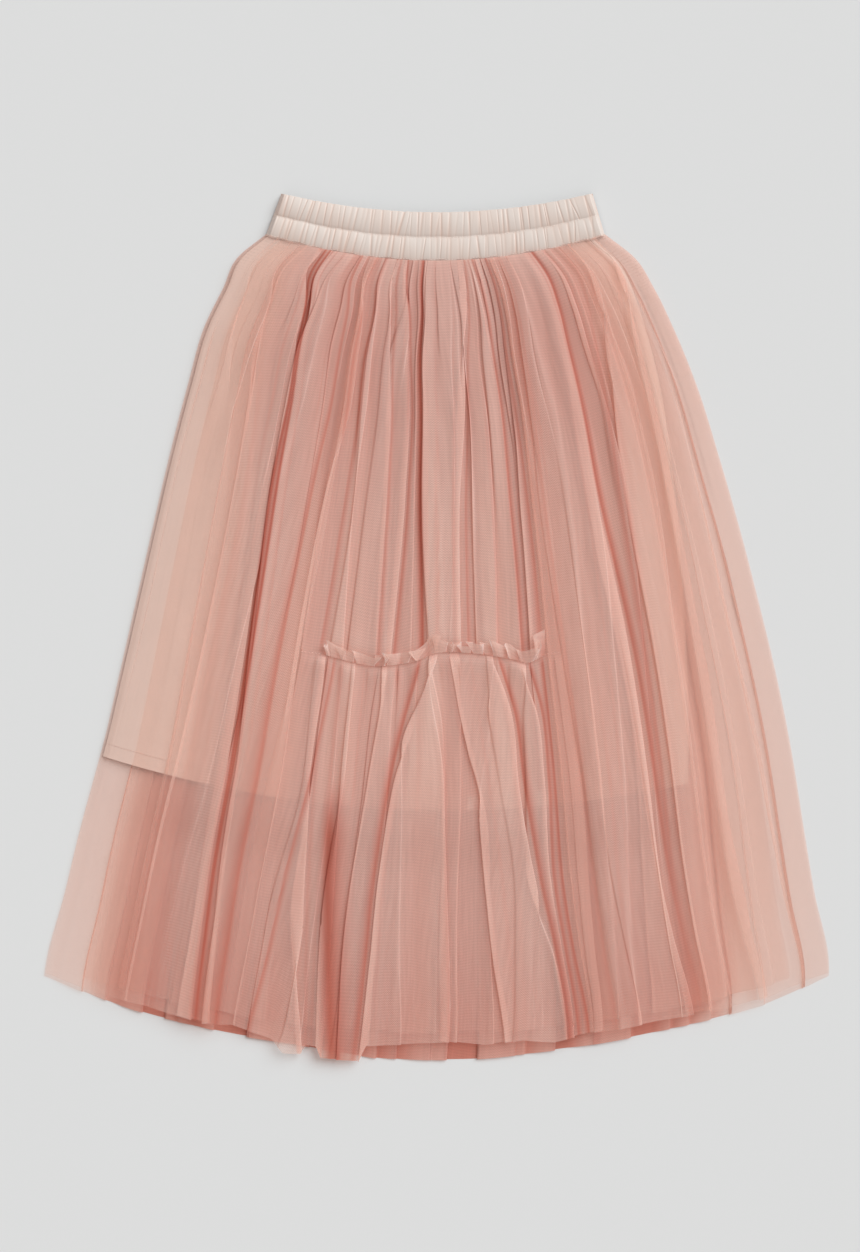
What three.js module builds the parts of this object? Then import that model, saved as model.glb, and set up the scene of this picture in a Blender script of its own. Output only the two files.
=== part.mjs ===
// Midi skirt of gathered tulle over a lining, laid flat on its back with the front up.
// X runs across the skirt, Y up to the waist and Z up from the surface it lies on, in millimetres.
// The origin lies under the middle of the skirt, on that surface.

import * as THREE from "three";

// Sizes of the whole skirt
const WAIST_SIDE_Y = 384;
const WAIST_SAG = 26;
const HEM_SIDE_Y = -350;
const HEM_DIP = 66;
const SEAM_GAP = 0.3;
const LAYER_GAP = 0.5;

// Both sides of the laid skirt, from the waist seam at v = 0 to the hem at v = 1
const SIDES = [
  { v: 0.0, left: -168, right: 165 },
  { v: 0.03, left: -195, right: 193 },
  { v: 0.07, left: -209, right: 212 },
  { v: 0.12, left: -227, right: 230 },
  { v: 0.2, left: -244, right: 254 },
  { v: 0.3, left: -263, right: 277 },
  { v: 0.4, left: -280, right: 298 },
  { v: 0.49, left: -295, right: 315 },
  { v: 0.58, left: -310, right: 331 },
  { v: 0.68, left: -327, right: 346 },
  { v: 0.72, left: -334, right: 351 },
  { v: 0.79, left: -347, right: 359 },
  { v: 0.88, left: -362, right: 370 },
  { v: 0.98, left: -384, right: 384 },
  { v: 1.01, left: -384, right: 384 },
];

// How far the gathered pile has opened up, down the skirt: full is a share of the room for folds
const FULLNESS = [
  { v: 0.0, full: 0.14 },
  { v: 0.03, full: 0.45 },
  { v: 0.07, full: 0.7 },
  { v: 0.12, full: 0.86 },
  { v: 0.2, full: 0.97 },
  { v: 0.3, full: 1.0 },
  { v: 0.4, full: 1.0 },
  { v: 0.49, full: 1.0 },
  { v: 0.58, full: 1.0 },
  { v: 0.68, full: 0.97 },
  { v: 0.72, full: 0.95 },
  { v: 0.79, full: 0.9 },
  { v: 0.88, full: 0.82 },
  { v: 1.01, full: 0.72 },
];
const SIDE_ROUNDING = 75;

// Layers from the surface up: wall thickness, the room that its folds take, its edges and its hem
const LINING_HEM_V = 0.695;
const RUFFLE_SEAM_V = 0.49;
const FRONT_HEM_V = 0.985;
const RUFFLE_HEM_V = 0.995;
const RUFFLE_SECOND_ROW_V = 0.52;
const LEAST_ROW_STEP = 0.01;
const LINING_COLUMNS = 14;
const LAYERS = {
  back: { level: 0, wall: 1.5, room: 1.8, left: [0, 0, 0], right: [1, 1, 1], hem: 1.01 },
  lining_back: {
    level: 1, wall: 1.0, room: 0, left: [0.035, 0.03, 0.024], right: [0.965, 0.88, 0.8], hem: LINING_HEM_V,
  },
  lining_front: {
    level: 2, wall: 1.0, room: 0, left: [0.035, 0.03, 0.024], right: [0.965, 0.88, 0.8], hem: LINING_HEM_V,
  },
  under_front: { level: 3, wall: 1.2, room: 4.4, left: [0.05, 0.045, 0.045], right: [0.95, 0.95, 0.95], hem: 0.98 },
  centre: { level: 4, wall: 1.2, room: 5.0, left: [0.315, 0.265, 0.24], right: [0.68, 0.69, 0.715], hem: 1.01 },
  front: { level: 5, wall: 1.5, room: 7.2, left: [0, 0, 0], right: [1, 1, 1], hem: FRONT_HEM_V },
};
const LINING_HEM_TURN = 0.6;
const LINING_HEM_DEPTH_V = 0.02;
const EDGE_MARGIN = 14;
const EDGE_RAMP = 26;
const SIDE_TURN = 0.014;
const SIDE_TURN_WALL = 0.8;

// Where the columns of a fold table are measured, as shares of the way from waist to hem
const FOLD_STATIONS = [0.0, 0.15, 0.5, 1.0];
const VALLEY_WIDTH = 1.1;
const VALLEY_SHARE_OF_SPACING = 0.38;
const TROUGH_SHARE_OF_RISE = 0.3;
const FADE_START_SHARE = 0.6;

// Folds of each piece, left to right. waist, upper, middle and hem: place across the skirt in per cent.
// rise: height in mm. drop: side on which the steep valley lies. reach: the v at which it has faded, and
// past 1 where it still has some of its height at the hem.
const FRONT_LEFT_EDGE = { waist: 34.4, upper: 33.8, middle: 29.3, hem: 25.8 };
const FRONT_LEFT_FOLDS = [
  { waist: 2.0, upper: 4.2, middle: 4.0, hem: 3.5, rise: 2.5, drop: -1, reach: 0.6 },
  { waist: 4.4, upper: 7.2, middle: 7.2, hem: 6.6, rise: 4.0, drop: 1, reach: 1.2 },
  { waist: 8.0, upper: 11.8, middle: 12.4, hem: 11.7, rise: 5.5, drop: 1, reach: 1.6 },
  { waist: 11.5, upper: 14.6, middle: 14.6, hem: 14.2, rise: 3.5, drop: -1, reach: 0.5 },
  { waist: 15.0, upper: 17.8, middle: 16.8, hem: 17.2, rise: 6.0, drop: 1, reach: 1.8 },
  { waist: 19.3, upper: 21.2, middle: 20.2, hem: 20.2, rise: 6.6, drop: -1, reach: 1.8 },
  { waist: 23.6, upper: 24.6, middle: 22.2, hem: 21.6, rise: 3.5, drop: 1, reach: 0.5 },
  { waist: 26.6, upper: 27.2, middle: 23.2, hem: 22.3, rise: 2.5, drop: 1, reach: 0.3 },
  { waist: 29.2, upper: 29.3, middle: 24.6, hem: 23.1, rise: 5.5, drop: -1, reach: 1.6 },
  { waist: 32.0, upper: 31.8, middle: 27.2, hem: 24.5, rise: 5.0, drop: -1, reach: 1.6 },
];
const FRONT_RIGHT_EDGE = { waist: 65.0, upper: 65.0, middle: 65.6, hem: 69.7 };
const FRONT_RIGHT_FOLDS = [
  { waist: 66.6, upper: 66.4, middle: 66.9, hem: 71.0, rise: 5.5, drop: -1, reach: 1.6 },
  { waist: 68.7, upper: 68.9, middle: 68.6, hem: 72.2, rise: 3.0, drop: 1, reach: 0.5 },
  { waist: 70.6, upper: 71.4, middle: 70.3, hem: 73.4, rise: 5.0, drop: -1, reach: 1.6 },
  { waist: 73.0, upper: 73.3, middle: 72.6, hem: 75.0, rise: 3.0, drop: 1, reach: 0.4 },
  { waist: 75.4, upper: 75.4, middle: 75.2, hem: 76.6, rise: 4.0, drop: 1, reach: 1.6 },
  { waist: 78.0, upper: 77.8, middle: 78.7, hem: 82.0, rise: 5.5, drop: 1, reach: 1.6 },
  { waist: 81.4, upper: 80.9, middle: 80.5, hem: 83.1, rise: 3.0, drop: 1, reach: 0.4 },
  { waist: 86.5, upper: 83.8, middle: 82.2, hem: 84.3, rise: 6.2, drop: -1, reach: 1.8 },
  { waist: 90.4, upper: 88.2, middle: 86.8, hem: 88.6, rise: 5.0, drop: 1, reach: 1.6 },
  { waist: 94.3, upper: 91.8, middle: 89.8, hem: 91.6, rise: 6.2, drop: -1, reach: 1.8 },
  { waist: 97.4, upper: 96.0, middle: 95.2, hem: 96.4, rise: 3.0, drop: 1, reach: 1.2 },
];
const CENTRE_UPPER_FOLDS = [
  { waist: 35.4, upper: 35.0, middle: 32.0, hem: 32.0, rise: 3.0, drop: -1, reach: 1.6 },
  { waist: 38.8, upper: 37.8, middle: 36.4, hem: 36.4, rise: 4.0, drop: 1, reach: 1.6 },
  { waist: 42.4, upper: 43.4, middle: 40.9, hem: 40.9, rise: 4.3, drop: 1, reach: 1.6 },
  { waist: 46.4, upper: 46.4, middle: 44.9, hem: 44.9, rise: 4.0, drop: 1, reach: 1.6 },
  { waist: 50.2, upper: 49.6, middle: 48.8, hem: 48.8, rise: 3.4, drop: -1, reach: 1.2 },
  { waist: 53.6, upper: 52.4, middle: 51.0, hem: 51.0, rise: 2.6, drop: 1, reach: 0.5 },
  { waist: 57.4, upper: 55.6, middle: 53.6, hem: 53.6, rise: 4.2, drop: 1, reach: 1.6 },
  { waist: 60.2, upper: 61.2, middle: 60.6, hem: 60.6, rise: 4.3, drop: 1, reach: 1.8 },
];
const RUFFLE_FOLDS = [
  { waist: 30.2, upper: 30.2, middle: 30.2, hem: 29.8, rise: 3.4, drop: 1, reach: 2.6 },
  { waist: 33.2, upper: 33.2, middle: 33.2, hem: 33.0, rise: 3.0, drop: -1, reach: 2.6 },
  { waist: 36.4, upper: 36.4, middle: 36.4, hem: 35.6, rise: 3.4, drop: 1, reach: 2.6 },
  { waist: 39.8, upper: 39.8, middle: 39.8, hem: 38.4, rise: 4.2, drop: 1, reach: 2.6 },
  { waist: 44.8, upper: 44.8, middle: 44.8, hem: 41.0, rise: 4.3, drop: -1, reach: 2.6 },
  { waist: 48.6, upper: 48.6, middle: 48.6, hem: 46.5, rise: 4.3, drop: 1, reach: 2.6 },
  { waist: 50.6, upper: 50.6, middle: 50.6, hem: 51.5, rise: 3.6, drop: 1, reach: 2.6 },
  { waist: 53.0, upper: 53.0, middle: 53.0, hem: 56.0, rise: 3.8, drop: -1, reach: 2.6 },
  { waist: 55.8, upper: 55.8, middle: 55.8, hem: 60.2, rise: 4.3, drop: 1, reach: 2.6 },
  { waist: 58.4, upper: 58.4, middle: 58.4, hem: 64.8, rise: 4.3, drop: 1, reach: 2.6 },
  { waist: 61.2, upper: 61.2, middle: 61.2, hem: 66.4, rise: 3.2, drop: -1, reach: 2.6 },
  { waist: 63.8, upper: 63.8, middle: 63.8, hem: 67.8, rise: 3.2, drop: 1, reach: 2.6 },
];
const UNDER_FOLDS = [
  { waist: 12.0, upper: 12.0, middle: 10.0, hem: 9.0, rise: 3.0, drop: 1, reach: 1.8 },
  { waist: 23.0, upper: 24.0, middle: 22.0, hem: 20.0, rise: 3.6, drop: -1, reach: 1.8 },
  { waist: 33.0, upper: 33.0, middle: 31.5, hem: 31.0, rise: 3.4, drop: 1, reach: 1.8 },
  { waist: 43.0, upper: 42.0, middle: 41.5, hem: 40.0, rise: 3.6, drop: 1, reach: 1.8 },
  { waist: 54.0, upper: 54.0, middle: 54.5, hem: 55.0, rise: 3.6, drop: -1, reach: 1.8 },
  { waist: 65.0, upper: 66.0, middle: 67.0, hem: 68.0, rise: 3.4, drop: 1, reach: 1.8 },
  { waist: 76.0, upper: 76.5, middle: 78.0, hem: 79.5, rise: 3.6, drop: 1, reach: 1.8 },
  { waist: 87.0, upper: 87.0, middle: 88.0, hem: 89.0, rise: 3.0, drop: -1, reach: 1.8 },
];
const BACK_FOLDS = [
  { waist: 6.0, upper: 7.0, middle: 6.5, hem: 6.0, rise: 1.2, drop: 1, reach: 1.6 },
  { waist: 15.0, upper: 15.5, middle: 14.5, hem: 13.5, rise: 1.5, drop: -1, reach: 1.6 },
  { waist: 24.0, upper: 23.5, middle: 22.0, hem: 21.5, rise: 1.5, drop: 1, reach: 1.6 },
  { waist: 32.0, upper: 31.5, middle: 30.5, hem: 29.0, rise: 1.4, drop: -1, reach: 1.6 },
  { waist: 40.0, upper: 39.0, middle: 38.0, hem: 37.5, rise: 1.5, drop: 1, reach: 1.6 },
  { waist: 47.0, upper: 47.0, middle: 46.5, hem: 46.0, rise: 1.5, drop: 1, reach: 1.6 },
  { waist: 55.0, upper: 55.0, middle: 55.5, hem: 55.0, rise: 1.5, drop: -1, reach: 1.6 },
  { waist: 63.0, upper: 64.0, middle: 64.5, hem: 65.5, rise: 1.4, drop: 1, reach: 1.6 },
  { waist: 71.0, upper: 71.0, middle: 72.5, hem: 73.0, rise: 1.5, drop: -1, reach: 1.6 },
  { waist: 79.0, upper: 79.5, middle: 80.5, hem: 81.0, rise: 1.5, drop: 1, reach: 1.6 },
  { waist: 87.0, upper: 87.0, middle: 88.0, hem: 88.5, rise: 1.4, drop: -1, reach: 1.6 },
  { waist: 95.0, upper: 95.0, middle: 95.0, hem: 95.0, rise: 1.0, drop: 1, reach: 1.6 },
];

// How far below the even hem line each hem hangs, in mm: s is the place across in per cent
const FRONT_HEM_DROPS = [
  { s: 0, drop: 0 },
  { s: 5, drop: 3 },
  { s: 12, drop: 1 },
  { s: 20, drop: 5 },
  { s: 26, drop: -2 },
  { s: 70, drop: 2 },
  { s: 84, drop: 1 },
  { s: 91, drop: 4 },
  { s: 95, drop: -1 },
  { s: 100, drop: 0 },
];
const RUFFLE_HEM_DROPS = [
  { s: 23, drop: -6 },
  { s: 29, drop: 2 },
  { s: 32, drop: 9 },
  { s: 36, drop: 4 },
  { s: 39, drop: 10 },
  { s: 41, drop: -5 },
  { s: 46, drop: -2 },
  { s: 51, drop: 1 },
  { s: 56, drop: -3 },
  { s: 61, drop: -1 },
  { s: 65, drop: 1 },
  { s: 68, drop: -4 },
  { s: 72, drop: -4 },
];
const BACK_HEM_DROPS = [
  { s: 0, drop: -8 },
  { s: 10, drop: -2 },
  { s: 20, drop: 0 },
  { s: 32, drop: 1 },
  { s: 42, drop: 8 },
  { s: 55, drop: 8 },
  { s: 66, drop: 4 },
  { s: 80, drop: 1 },
  { s: 92, drop: 0 },
  { s: 100, drop: -8 },
];

// Waistband: two gathered elastic channels with a stitch line between them
const BAND_TOP_HALF_WIDTH = 152.5;
const BAND_BOTTOM_LEFT = -167.6;
const BAND_BOTTOM_RIGHT = 164.4;
const BAND_TOP_SIDE_Y = 424;
const BAND_TOP_SAG = 18.5;
const BAND_GATHERS = 52;
const BAND_BACK_WALL = 3.0;
const BAND_FRONT_WALL = 2.0;
const BAND_BULGE = 2.8;
const BAND_RIPPLE = 1.3;
const BAND_RIPPLE_VARIATION = 0.25;
const BAND_SPACING_VARIATION = 0.3;
const BAND_BACK_COLUMNS = 21;
const BAND_ROWS = [
  { up: 0.0, bulge: 0.35, ripple: 1.0 },
  { up: 0.14, bulge: 0.85, ripple: 1.0 },
  { up: 0.34, bulge: 1.0, ripple: 1.0 },
  { up: 0.5, bulge: 0.1, ripple: 0.25 },
  { up: 0.66, bulge: 1.0, ripple: 1.0 },
  { up: 0.88, bulge: 0.85, ripple: 1.0 },
  { up: 1.0, bulge: 0.2, ripple: 0.6 },
];

// Raw frilled edge of the ruffle, which stands above its gathering stitches
const HEADING_LEFT = 30.4;
const HEADING_RIGHT = 64.4;
const HEADING_WAVES = 18;
const HEADING_HEIGHT = 13;
const HEADING_TUFT_HEIGHT = 24;
const HEADING_RISE = 3.4;
const HEADING_UNEVENNESS = 2;
const HEADING_TUFT_START = 0.9;
const HEADING_ROOT_SHARE = 0.3;

// Folds of the centre panels are pressed flat along the ruffle seam: start and end of that easing, as v
const SEAM_PRESS_ABOVE = [0.41, 0.468];
const SEAM_PRESS_BELOW = [0.49, 0.56];

const ROWS = SIDES.map((row) => row.v);
const clothColours = {
  tulle: new THREE.MeshStandardMaterial({ color: 0xd9a091, roughness: 0.8, metalness: 0, side: THREE.DoubleSide }),
  ruffle: new THREE.MeshStandardMaterial({ color: 0xcf9586, roughness: 0.8, metalness: 0, side: THREE.DoubleSide }),
  lining: new THREE.MeshStandardMaterial({ color: 0xe3b9a8, roughness: 0.7, metalness: 0 }),
  band: new THREE.MeshStandardMaterial({ color: 0xecdcd2, roughness: 0.45, metalness: 0 }),
};

// Value of one named column of a table at a place between its rows
function between(table, key, at, column) {
  const last = table.length - 1;
  if (at <= table[0][key]) return table[0][column];
  for (let i = 1; i <= last; i += 1) {
    if (at <= table[i][key]) {
      const share = (at - table[i - 1][key]) / (table[i][key] - table[i - 1][key]);
      return THREE.MathUtils.lerp(table[i - 1][column], table[i][column], share);
    }
  }
  return table[last][column];
}

// Place across the skirt, as a share, of a line whose per cents are given at the fold stations
function lineAt(line, v) {
  const marks = [line.waist, line.upper, line.middle, line.hem];
  const table = FOLD_STATIONS.map((station, i) => ({ v: station, across: marks[i] }));
  return between(table, "v", v, "across") / 100;
}

// Edge of a layer, as a share across, from its values at the waist, half way and at the hem
function edgeAt(marks, v) {
  const table = marks.map((mark, i) => ({ v: i / 2, across: mark }));
  return between(table, "v", v, "across");
}

const widthAt = (v) => between(SIDES, "v", v, "right") - between(SIDES, "v", v, "left");
const bow = (s) => 1 - (2 * s - 1) ** 2;
const waistY = (s) => WAIST_SIDE_Y - WAIST_SAG * bow(s);
const hemY = (s) => HEM_SIDE_Y - HEM_DIP * bow(s);

// Point on the surface for a share s across the skirt and a share v down it
function place(s, v) {
  const left = between(SIDES, "v", v, "left");
  return [left + widthAt(v) * s, THREE.MathUtils.lerp(waistY(s), hemY(s), v)];
}

// How much of its full height the pile has: nothing at the side folds, all of it further in
function fullnessAt(s, v) {
  const fromSide = Math.min(s, 1 - s) * widthAt(v);
  const rounding = THREE.MathUtils.smoothstep(fromSide, 0, SIDE_ROUNDING);
  return rounding * between(FULLNESS, "v", v, "full");
}

// Share of a layer's thickness that is felt at a point: all on the layer, easing to none outside it,
// and none at the very side, where the front turns down to meet the back
function presenceAt(layer, s, v) {
  const width = widthAt(v);
  const insideLeft = (s - edgeAt(layer.left, v)) * width;
  const insideRight = (edgeAt(layer.right, v) - s) * width;
  const insideHem = (layer.hem - v) * (waistY(s) - hemY(s));
  const inside = Math.min(insideLeft, insideRight, insideHem);
  const turn = THREE.MathUtils.smoothstep(Math.min(s, 1 - s), 0, SIDE_TURN);
  return turn * THREE.MathUtils.smoothstep(inside, -EDGE_MARGIN - EDGE_RAMP, -EDGE_MARGIN);
}

// Height on which a layer lies: every layer below it, with its gap and the room of its folds
function bedAt(level, s, v) {
  const below = Object.values(LAYERS).filter((layer) => layer.level < level);
  return below.reduce((height, layer) => {
    const turn = layer === LAYERS.lining_front ? LINING_HEM_TURN : 0;
    const thickness = layer.wall + turn + LAYER_GAP + layer.room * fullnessAt(s, v);
    const present = layer.level === 0 ? 1 : presenceAt(layer, s, v);
    return height + thickness * present;
  }, 0);
}

const flat = () => 0;
const unpressed = () => 1;

// Columns of a piece: its two edges, a crest and a valley foot for each fold, and troughs between.
// A piece that reaches a side of the skirt has one more column there, where the cloth turns down.
function foldColumns(folds, leftEdge, rightEdge, press = unpressed) {
  const columns = [{ at: leftEdge, rise: flat }];
  if (leftEdge(0) === 0) columns.push({ at: () => SIDE_TURN, rise: flat });
  folds.forEach((fold, i) => {
    const crest = (v) => lineAt(fold, v);
    const before = i > 0 ? (v) => lineAt(folds[i - 1], v) : leftEdge;
    const after = i < folds.length - 1 ? (v) => lineAt(folds[i + 1], v) : rightEdge;
    const rise = (v) => {
      const fading = 1 - THREE.MathUtils.smoothstep(v, fold.reach * FADE_START_SHARE, fold.reach);
      return fold.rise * fullnessAt(crest(v), v) * fading * press(v);
    };
    const spacing = (v) => (fold.drop > 0 ? after(v) - crest(v) : crest(v) - before(v));
    const footAt = (v) => crest(v) + fold.drop * Math.min(VALLEY_WIDTH / 100, VALLEY_SHARE_OF_SPACING * spacing(v));
    const crestColumn = { at: crest, rise };
    const footColumn = { at: footAt, rise: flat };
    const neighbour = folds[i - 1];
    if (neighbour && neighbour.drop < 0 && fold.drop > 0) {
      const trough = (v) => (lineAt(neighbour, v) + crest(v)) / 2;
      const lowerRise = Math.min(neighbour.rise, fold.rise) * TROUGH_SHARE_OF_RISE;
      const troughRise = (v) => lowerRise * fullnessAt(trough(v), v) * press(v);
      columns.push({ at: trough, rise: troughRise });
    }
    if (fold.drop < 0) columns.push(footColumn, crestColumn);
    else columns.push(crestColumn, footColumn);
  });
  if (rightEdge(0) === 1) columns.push({ at: () => 1 - SIDE_TURN, rise: flat });
  columns.push({ at: rightEdge, rise: flat });
  return columns;
}

// Closed wall of cloth from a grid of columns and rows; point(column, row) gives [x, y, underside, top]
function clothWall(columnCount, rowCount, point) {
  const upper = [];
  const lower = [];
  for (let row = 0; row < rowCount; row += 1) {
    for (let column = 0; column < columnCount; column += 1) {
      const [x, y, underside, top] = point(column, row);
      upper.push(x, y, top);
      lower.push(x, y, underside);
    }
  }
  const count = columnCount * rowCount;
  const faces = [];
  const addQuad = (a, b, c, d) => faces.push(a, b, c, a, c, d);
  for (let row = 0; row < rowCount - 1; row += 1) {
    for (let column = 0; column < columnCount - 1; column += 1) {
      const a = row * columnCount + column;
      const b = a + columnCount;
      addQuad(a, b, b + 1, a + 1);
      addQuad(count + a, count + a + 1, count + b + 1, count + b);
    }
  }
  for (let column = 0; column < columnCount - 1; column += 1) {
    const first = column;
    const last = (rowCount - 1) * columnCount + column;
    addQuad(first, first + 1, count + first + 1, count + first);
    addQuad(last + 1, last, count + last, count + last + 1);
  }
  for (let row = 0; row < rowCount - 1; row += 1) {
    const left = row * columnCount;
    const right = left + columnCount - 1;
    addQuad(left + columnCount, left, count + left, count + left + columnCount);
    addQuad(right, right + columnCount, count + right + columnCount, count + right);
  }
  const geometry = new THREE.BufferGeometry();
  geometry.setAttribute("position", new THREE.Float32BufferAttribute([...upper, ...lower], 3));
  geometry.setIndex(faces);
  geometry.computeVertexNormals();
  return geometry;
}

// One piece of the skirt that lies on the layers below its level
function skirtPiece(layer, columns, rows, options = {}) {
  const { hemDrops = [{ s: 0, drop: 0 }], flatUnderside = false, extraWall = () => 0 } = options;
  const lastRow = rows.length - 1;
  return clothWall(columns.length, rows.length, (column, row) => {
    const v = rows[row];
    const s = columns[column].at(v);
    const [x, y] = place(s, v);
    const drop = row === lastRow ? between(hemDrops, "s", s * 100, "drop") : 0;
    const rise = columns[column].rise(v);
    const bed = flatUnderside ? 0 : bedAt(layer.level, s, v) + rise;
    const turnedWall = !flatUnderside && (s === 0 || s === 1) ? SIDE_TURN_WALL : 0;
    const top = (flatUnderside ? rise : bed) + layer.wall + turnedWall + extraWall(v);
    return [x, y - drop, bed, top];
  });
}

function rowsBetween(start, end) {
  const inner = ROWS.filter((v) => v > start + LEAST_ROW_STEP && v < end - LEAST_ROW_STEP);
  return [start, ...inner, end];
}

const evenColumns = (layer, count) =>
  Array.from({ length: count }, (_, i) => ({
    at: (v) => THREE.MathUtils.lerp(edgeAt(layer.left, v), edgeAt(layer.right, v), i / (count - 1)),
    rise: flat,
  }));
const layerFolds = (layer, folds, press) =>
  foldColumns(folds, (v) => edgeAt(layer.left, v), (v) => edgeAt(layer.right, v), press);

function backGeometry() {
  const options = { hemDrops: BACK_HEM_DROPS, flatUnderside: true };
  return skirtPiece(LAYERS.back, layerFolds(LAYERS.back, BACK_FOLDS), rowsBetween(0, 1), options);
}

function liningGeometry(layer, turned) {
  const turnStart = LINING_HEM_V - LINING_HEM_DEPTH_V;
  const rows = [...rowsBetween(0, turnStart - LINING_HEM_DEPTH_V / 4), turnStart, LINING_HEM_V];
  const extraWall = (v) => (turned && v >= turnStart ? LINING_HEM_TURN : 0);
  return skirtPiece(layer, evenColumns(layer, LINING_COLUMNS), rows, { extraWall });
}

function underFrontGeometry() {
  const layer = LAYERS.under_front;
  return skirtPiece(layer, layerFolds(layer, UNDER_FOLDS), rowsBetween(0, layer.hem));
}

function centreUpperGeometry() {
  const layer = LAYERS.centre;
  const end = RUFFLE_SEAM_V - SEAM_GAP / (WAIST_SIDE_Y - HEM_SIDE_Y);
  const press = (v) => 1 - THREE.MathUtils.smoothstep(v, ...SEAM_PRESS_ABOVE);
  const rows = [...rowsBetween(0, SEAM_PRESS_ABOVE[1]), end];
  return skirtPiece(layer, layerFolds(layer, CENTRE_UPPER_FOLDS, press), rows);
}

function centreRuffleGeometry() {
  const layer = LAYERS.centre;
  const press = (v) => THREE.MathUtils.smoothstep(v, ...SEAM_PRESS_BELOW);
  const rows = [RUFFLE_SEAM_V, RUFFLE_SECOND_ROW_V, ...rowsBetween(SEAM_PRESS_BELOW[1], RUFFLE_HEM_V)];
  return skirtPiece(layer, layerFolds(layer, RUFFLE_FOLDS, press), rows, { hemDrops: RUFFLE_HEM_DROPS });
}

function frontLeftGeometry() {
  const columns = foldColumns(FRONT_LEFT_FOLDS, () => 0, (v) => lineAt(FRONT_LEFT_EDGE, v));
  return skirtPiece(LAYERS.front, columns, rowsBetween(0, FRONT_HEM_V), { hemDrops: FRONT_HEM_DROPS });
}

function frontRightGeometry() {
  const columns = foldColumns(FRONT_RIGHT_FOLDS, (v) => lineAt(FRONT_RIGHT_EDGE, v), () => 1);
  return skirtPiece(LAYERS.front, columns, rowsBetween(0, FRONT_HEM_V), { hemDrops: FRONT_HEM_DROPS });
}

// The frilled raw edge lies on the panel above the ruffle seam, waving up and down along it
function ruffleHeadingGeometry() {
  const columnCount = HEADING_WAVES * 2 + 1;
  const rowShares = [0, 0.5, 1];
  return clothWall(columnCount, rowShares.length, (column, row) => {
    const along = column / (columnCount - 1);
    const s = THREE.MathUtils.lerp(HEADING_LEFT, HEADING_RIGHT, along) / 100;
    const crest = column % 2;
    const tuft = THREE.MathUtils.smoothstep(along, HEADING_TUFT_START, 1);
    const frilled = HEADING_HEIGHT + HEADING_UNEVENNESS * Math.sin(column * 1.9);
    const height = THREE.MathUtils.lerp(frilled, HEADING_TUFT_HEIGHT, tuft);
    const [x, seamY] = place(s, RUFFLE_SEAM_V);
    const share = 1 - rowShares[row];
    const y = seamY + height * share;
    const v = RUFFLE_SEAM_V - (height * share) / (waistY(s) - hemY(s));
    const seat = bedAt(LAYERS.centre.level, s, v) + LAYERS.centre.wall + SEAM_GAP;
    const underside = seat + HEADING_RISE * crest * THREE.MathUtils.lerp(HEADING_ROOT_SHARE, 1, share);
    return [x, y, underside, underside + LAYERS.centre.wall];
  });
}

// Point of the waistband for a share across and a share up from the waist seam
function bandPlace(across, up) {
  const bottomX = THREE.MathUtils.lerp(BAND_BOTTOM_LEFT, BAND_BOTTOM_RIGHT, across);
  const topX = THREE.MathUtils.lerp(-BAND_TOP_HALF_WIDTH, BAND_TOP_HALF_WIDTH, across);
  const bottomY = waistY(across) + SEAM_GAP;
  const topY = BAND_TOP_SIDE_Y - BAND_TOP_SAG * bow(across);
  return [THREE.MathUtils.lerp(bottomX, topX, up), THREE.MathUtils.lerp(bottomY, topY, up)];
}

function waistbandFrontGeometry() {
  const columnCount = BAND_GATHERS * 2 + 1;
  const underside = BAND_BACK_WALL + SEAM_GAP;
  return clothWall(columnCount, BAND_ROWS.length, (column, row) => {
    const profile = BAND_ROWS[BAND_ROWS.length - 1 - row];
    const isInner = column > 0 && column < columnCount - 1;
    const unevenness = isInner ? BAND_SPACING_VARIATION * Math.sin(column * 2.4) : 0;
    const [x, y] = bandPlace((column + unevenness) / (columnCount - 1), profile.up);
    const crest = column % 2;
    const depth = 1 - BAND_RIPPLE_VARIATION * (1 - Math.sin(column * 1.3));
    const ripple = BAND_RIPPLE * profile.ripple * crest * depth;
    return [x, y, underside, underside + BAND_FRONT_WALL + BAND_BULGE * profile.bulge + ripple];
  });
}

function waistbandBackGeometry() {
  const shares = [1, 0.5, 0];
  return clothWall(BAND_BACK_COLUMNS, shares.length, (column, row) => {
    const [x, y] = bandPlace(column / (BAND_BACK_COLUMNS - 1), shares[row]);
    return [x, y, 0, BAND_BACK_WALL];
  });
}

function sewnPiece(name, geometry, material) {
  const mesh = new THREE.Mesh(geometry, material);
  mesh.name = name;
  return mesh;
}

const skirt = new THREE.Group();
skirt.add(
  sewnPiece("back", backGeometry(), clothColours.tulle),
  sewnPiece("lining_back", liningGeometry(LAYERS.lining_back, false), clothColours.lining),
  sewnPiece("lining_front", liningGeometry(LAYERS.lining_front, true), clothColours.lining),
  sewnPiece("under_front", underFrontGeometry(), clothColours.tulle),
  sewnPiece("centre_upper", centreUpperGeometry(), clothColours.ruffle),
  sewnPiece("centre_ruffle", centreRuffleGeometry(), clothColours.ruffle),
  sewnPiece("ruffle_heading", ruffleHeadingGeometry(), clothColours.ruffle),
  sewnPiece("front_left", frontLeftGeometry(), clothColours.tulle),
  sewnPiece("front_right", frontRightGeometry(), clothColours.tulle),
  sewnPiece("waistband_front", waistbandFrontGeometry(), clothColours.band),
  sewnPiece("waistband_back", waistbandBackGeometry(), clothColours.band),
);

export default skirt;
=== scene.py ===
import math

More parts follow.
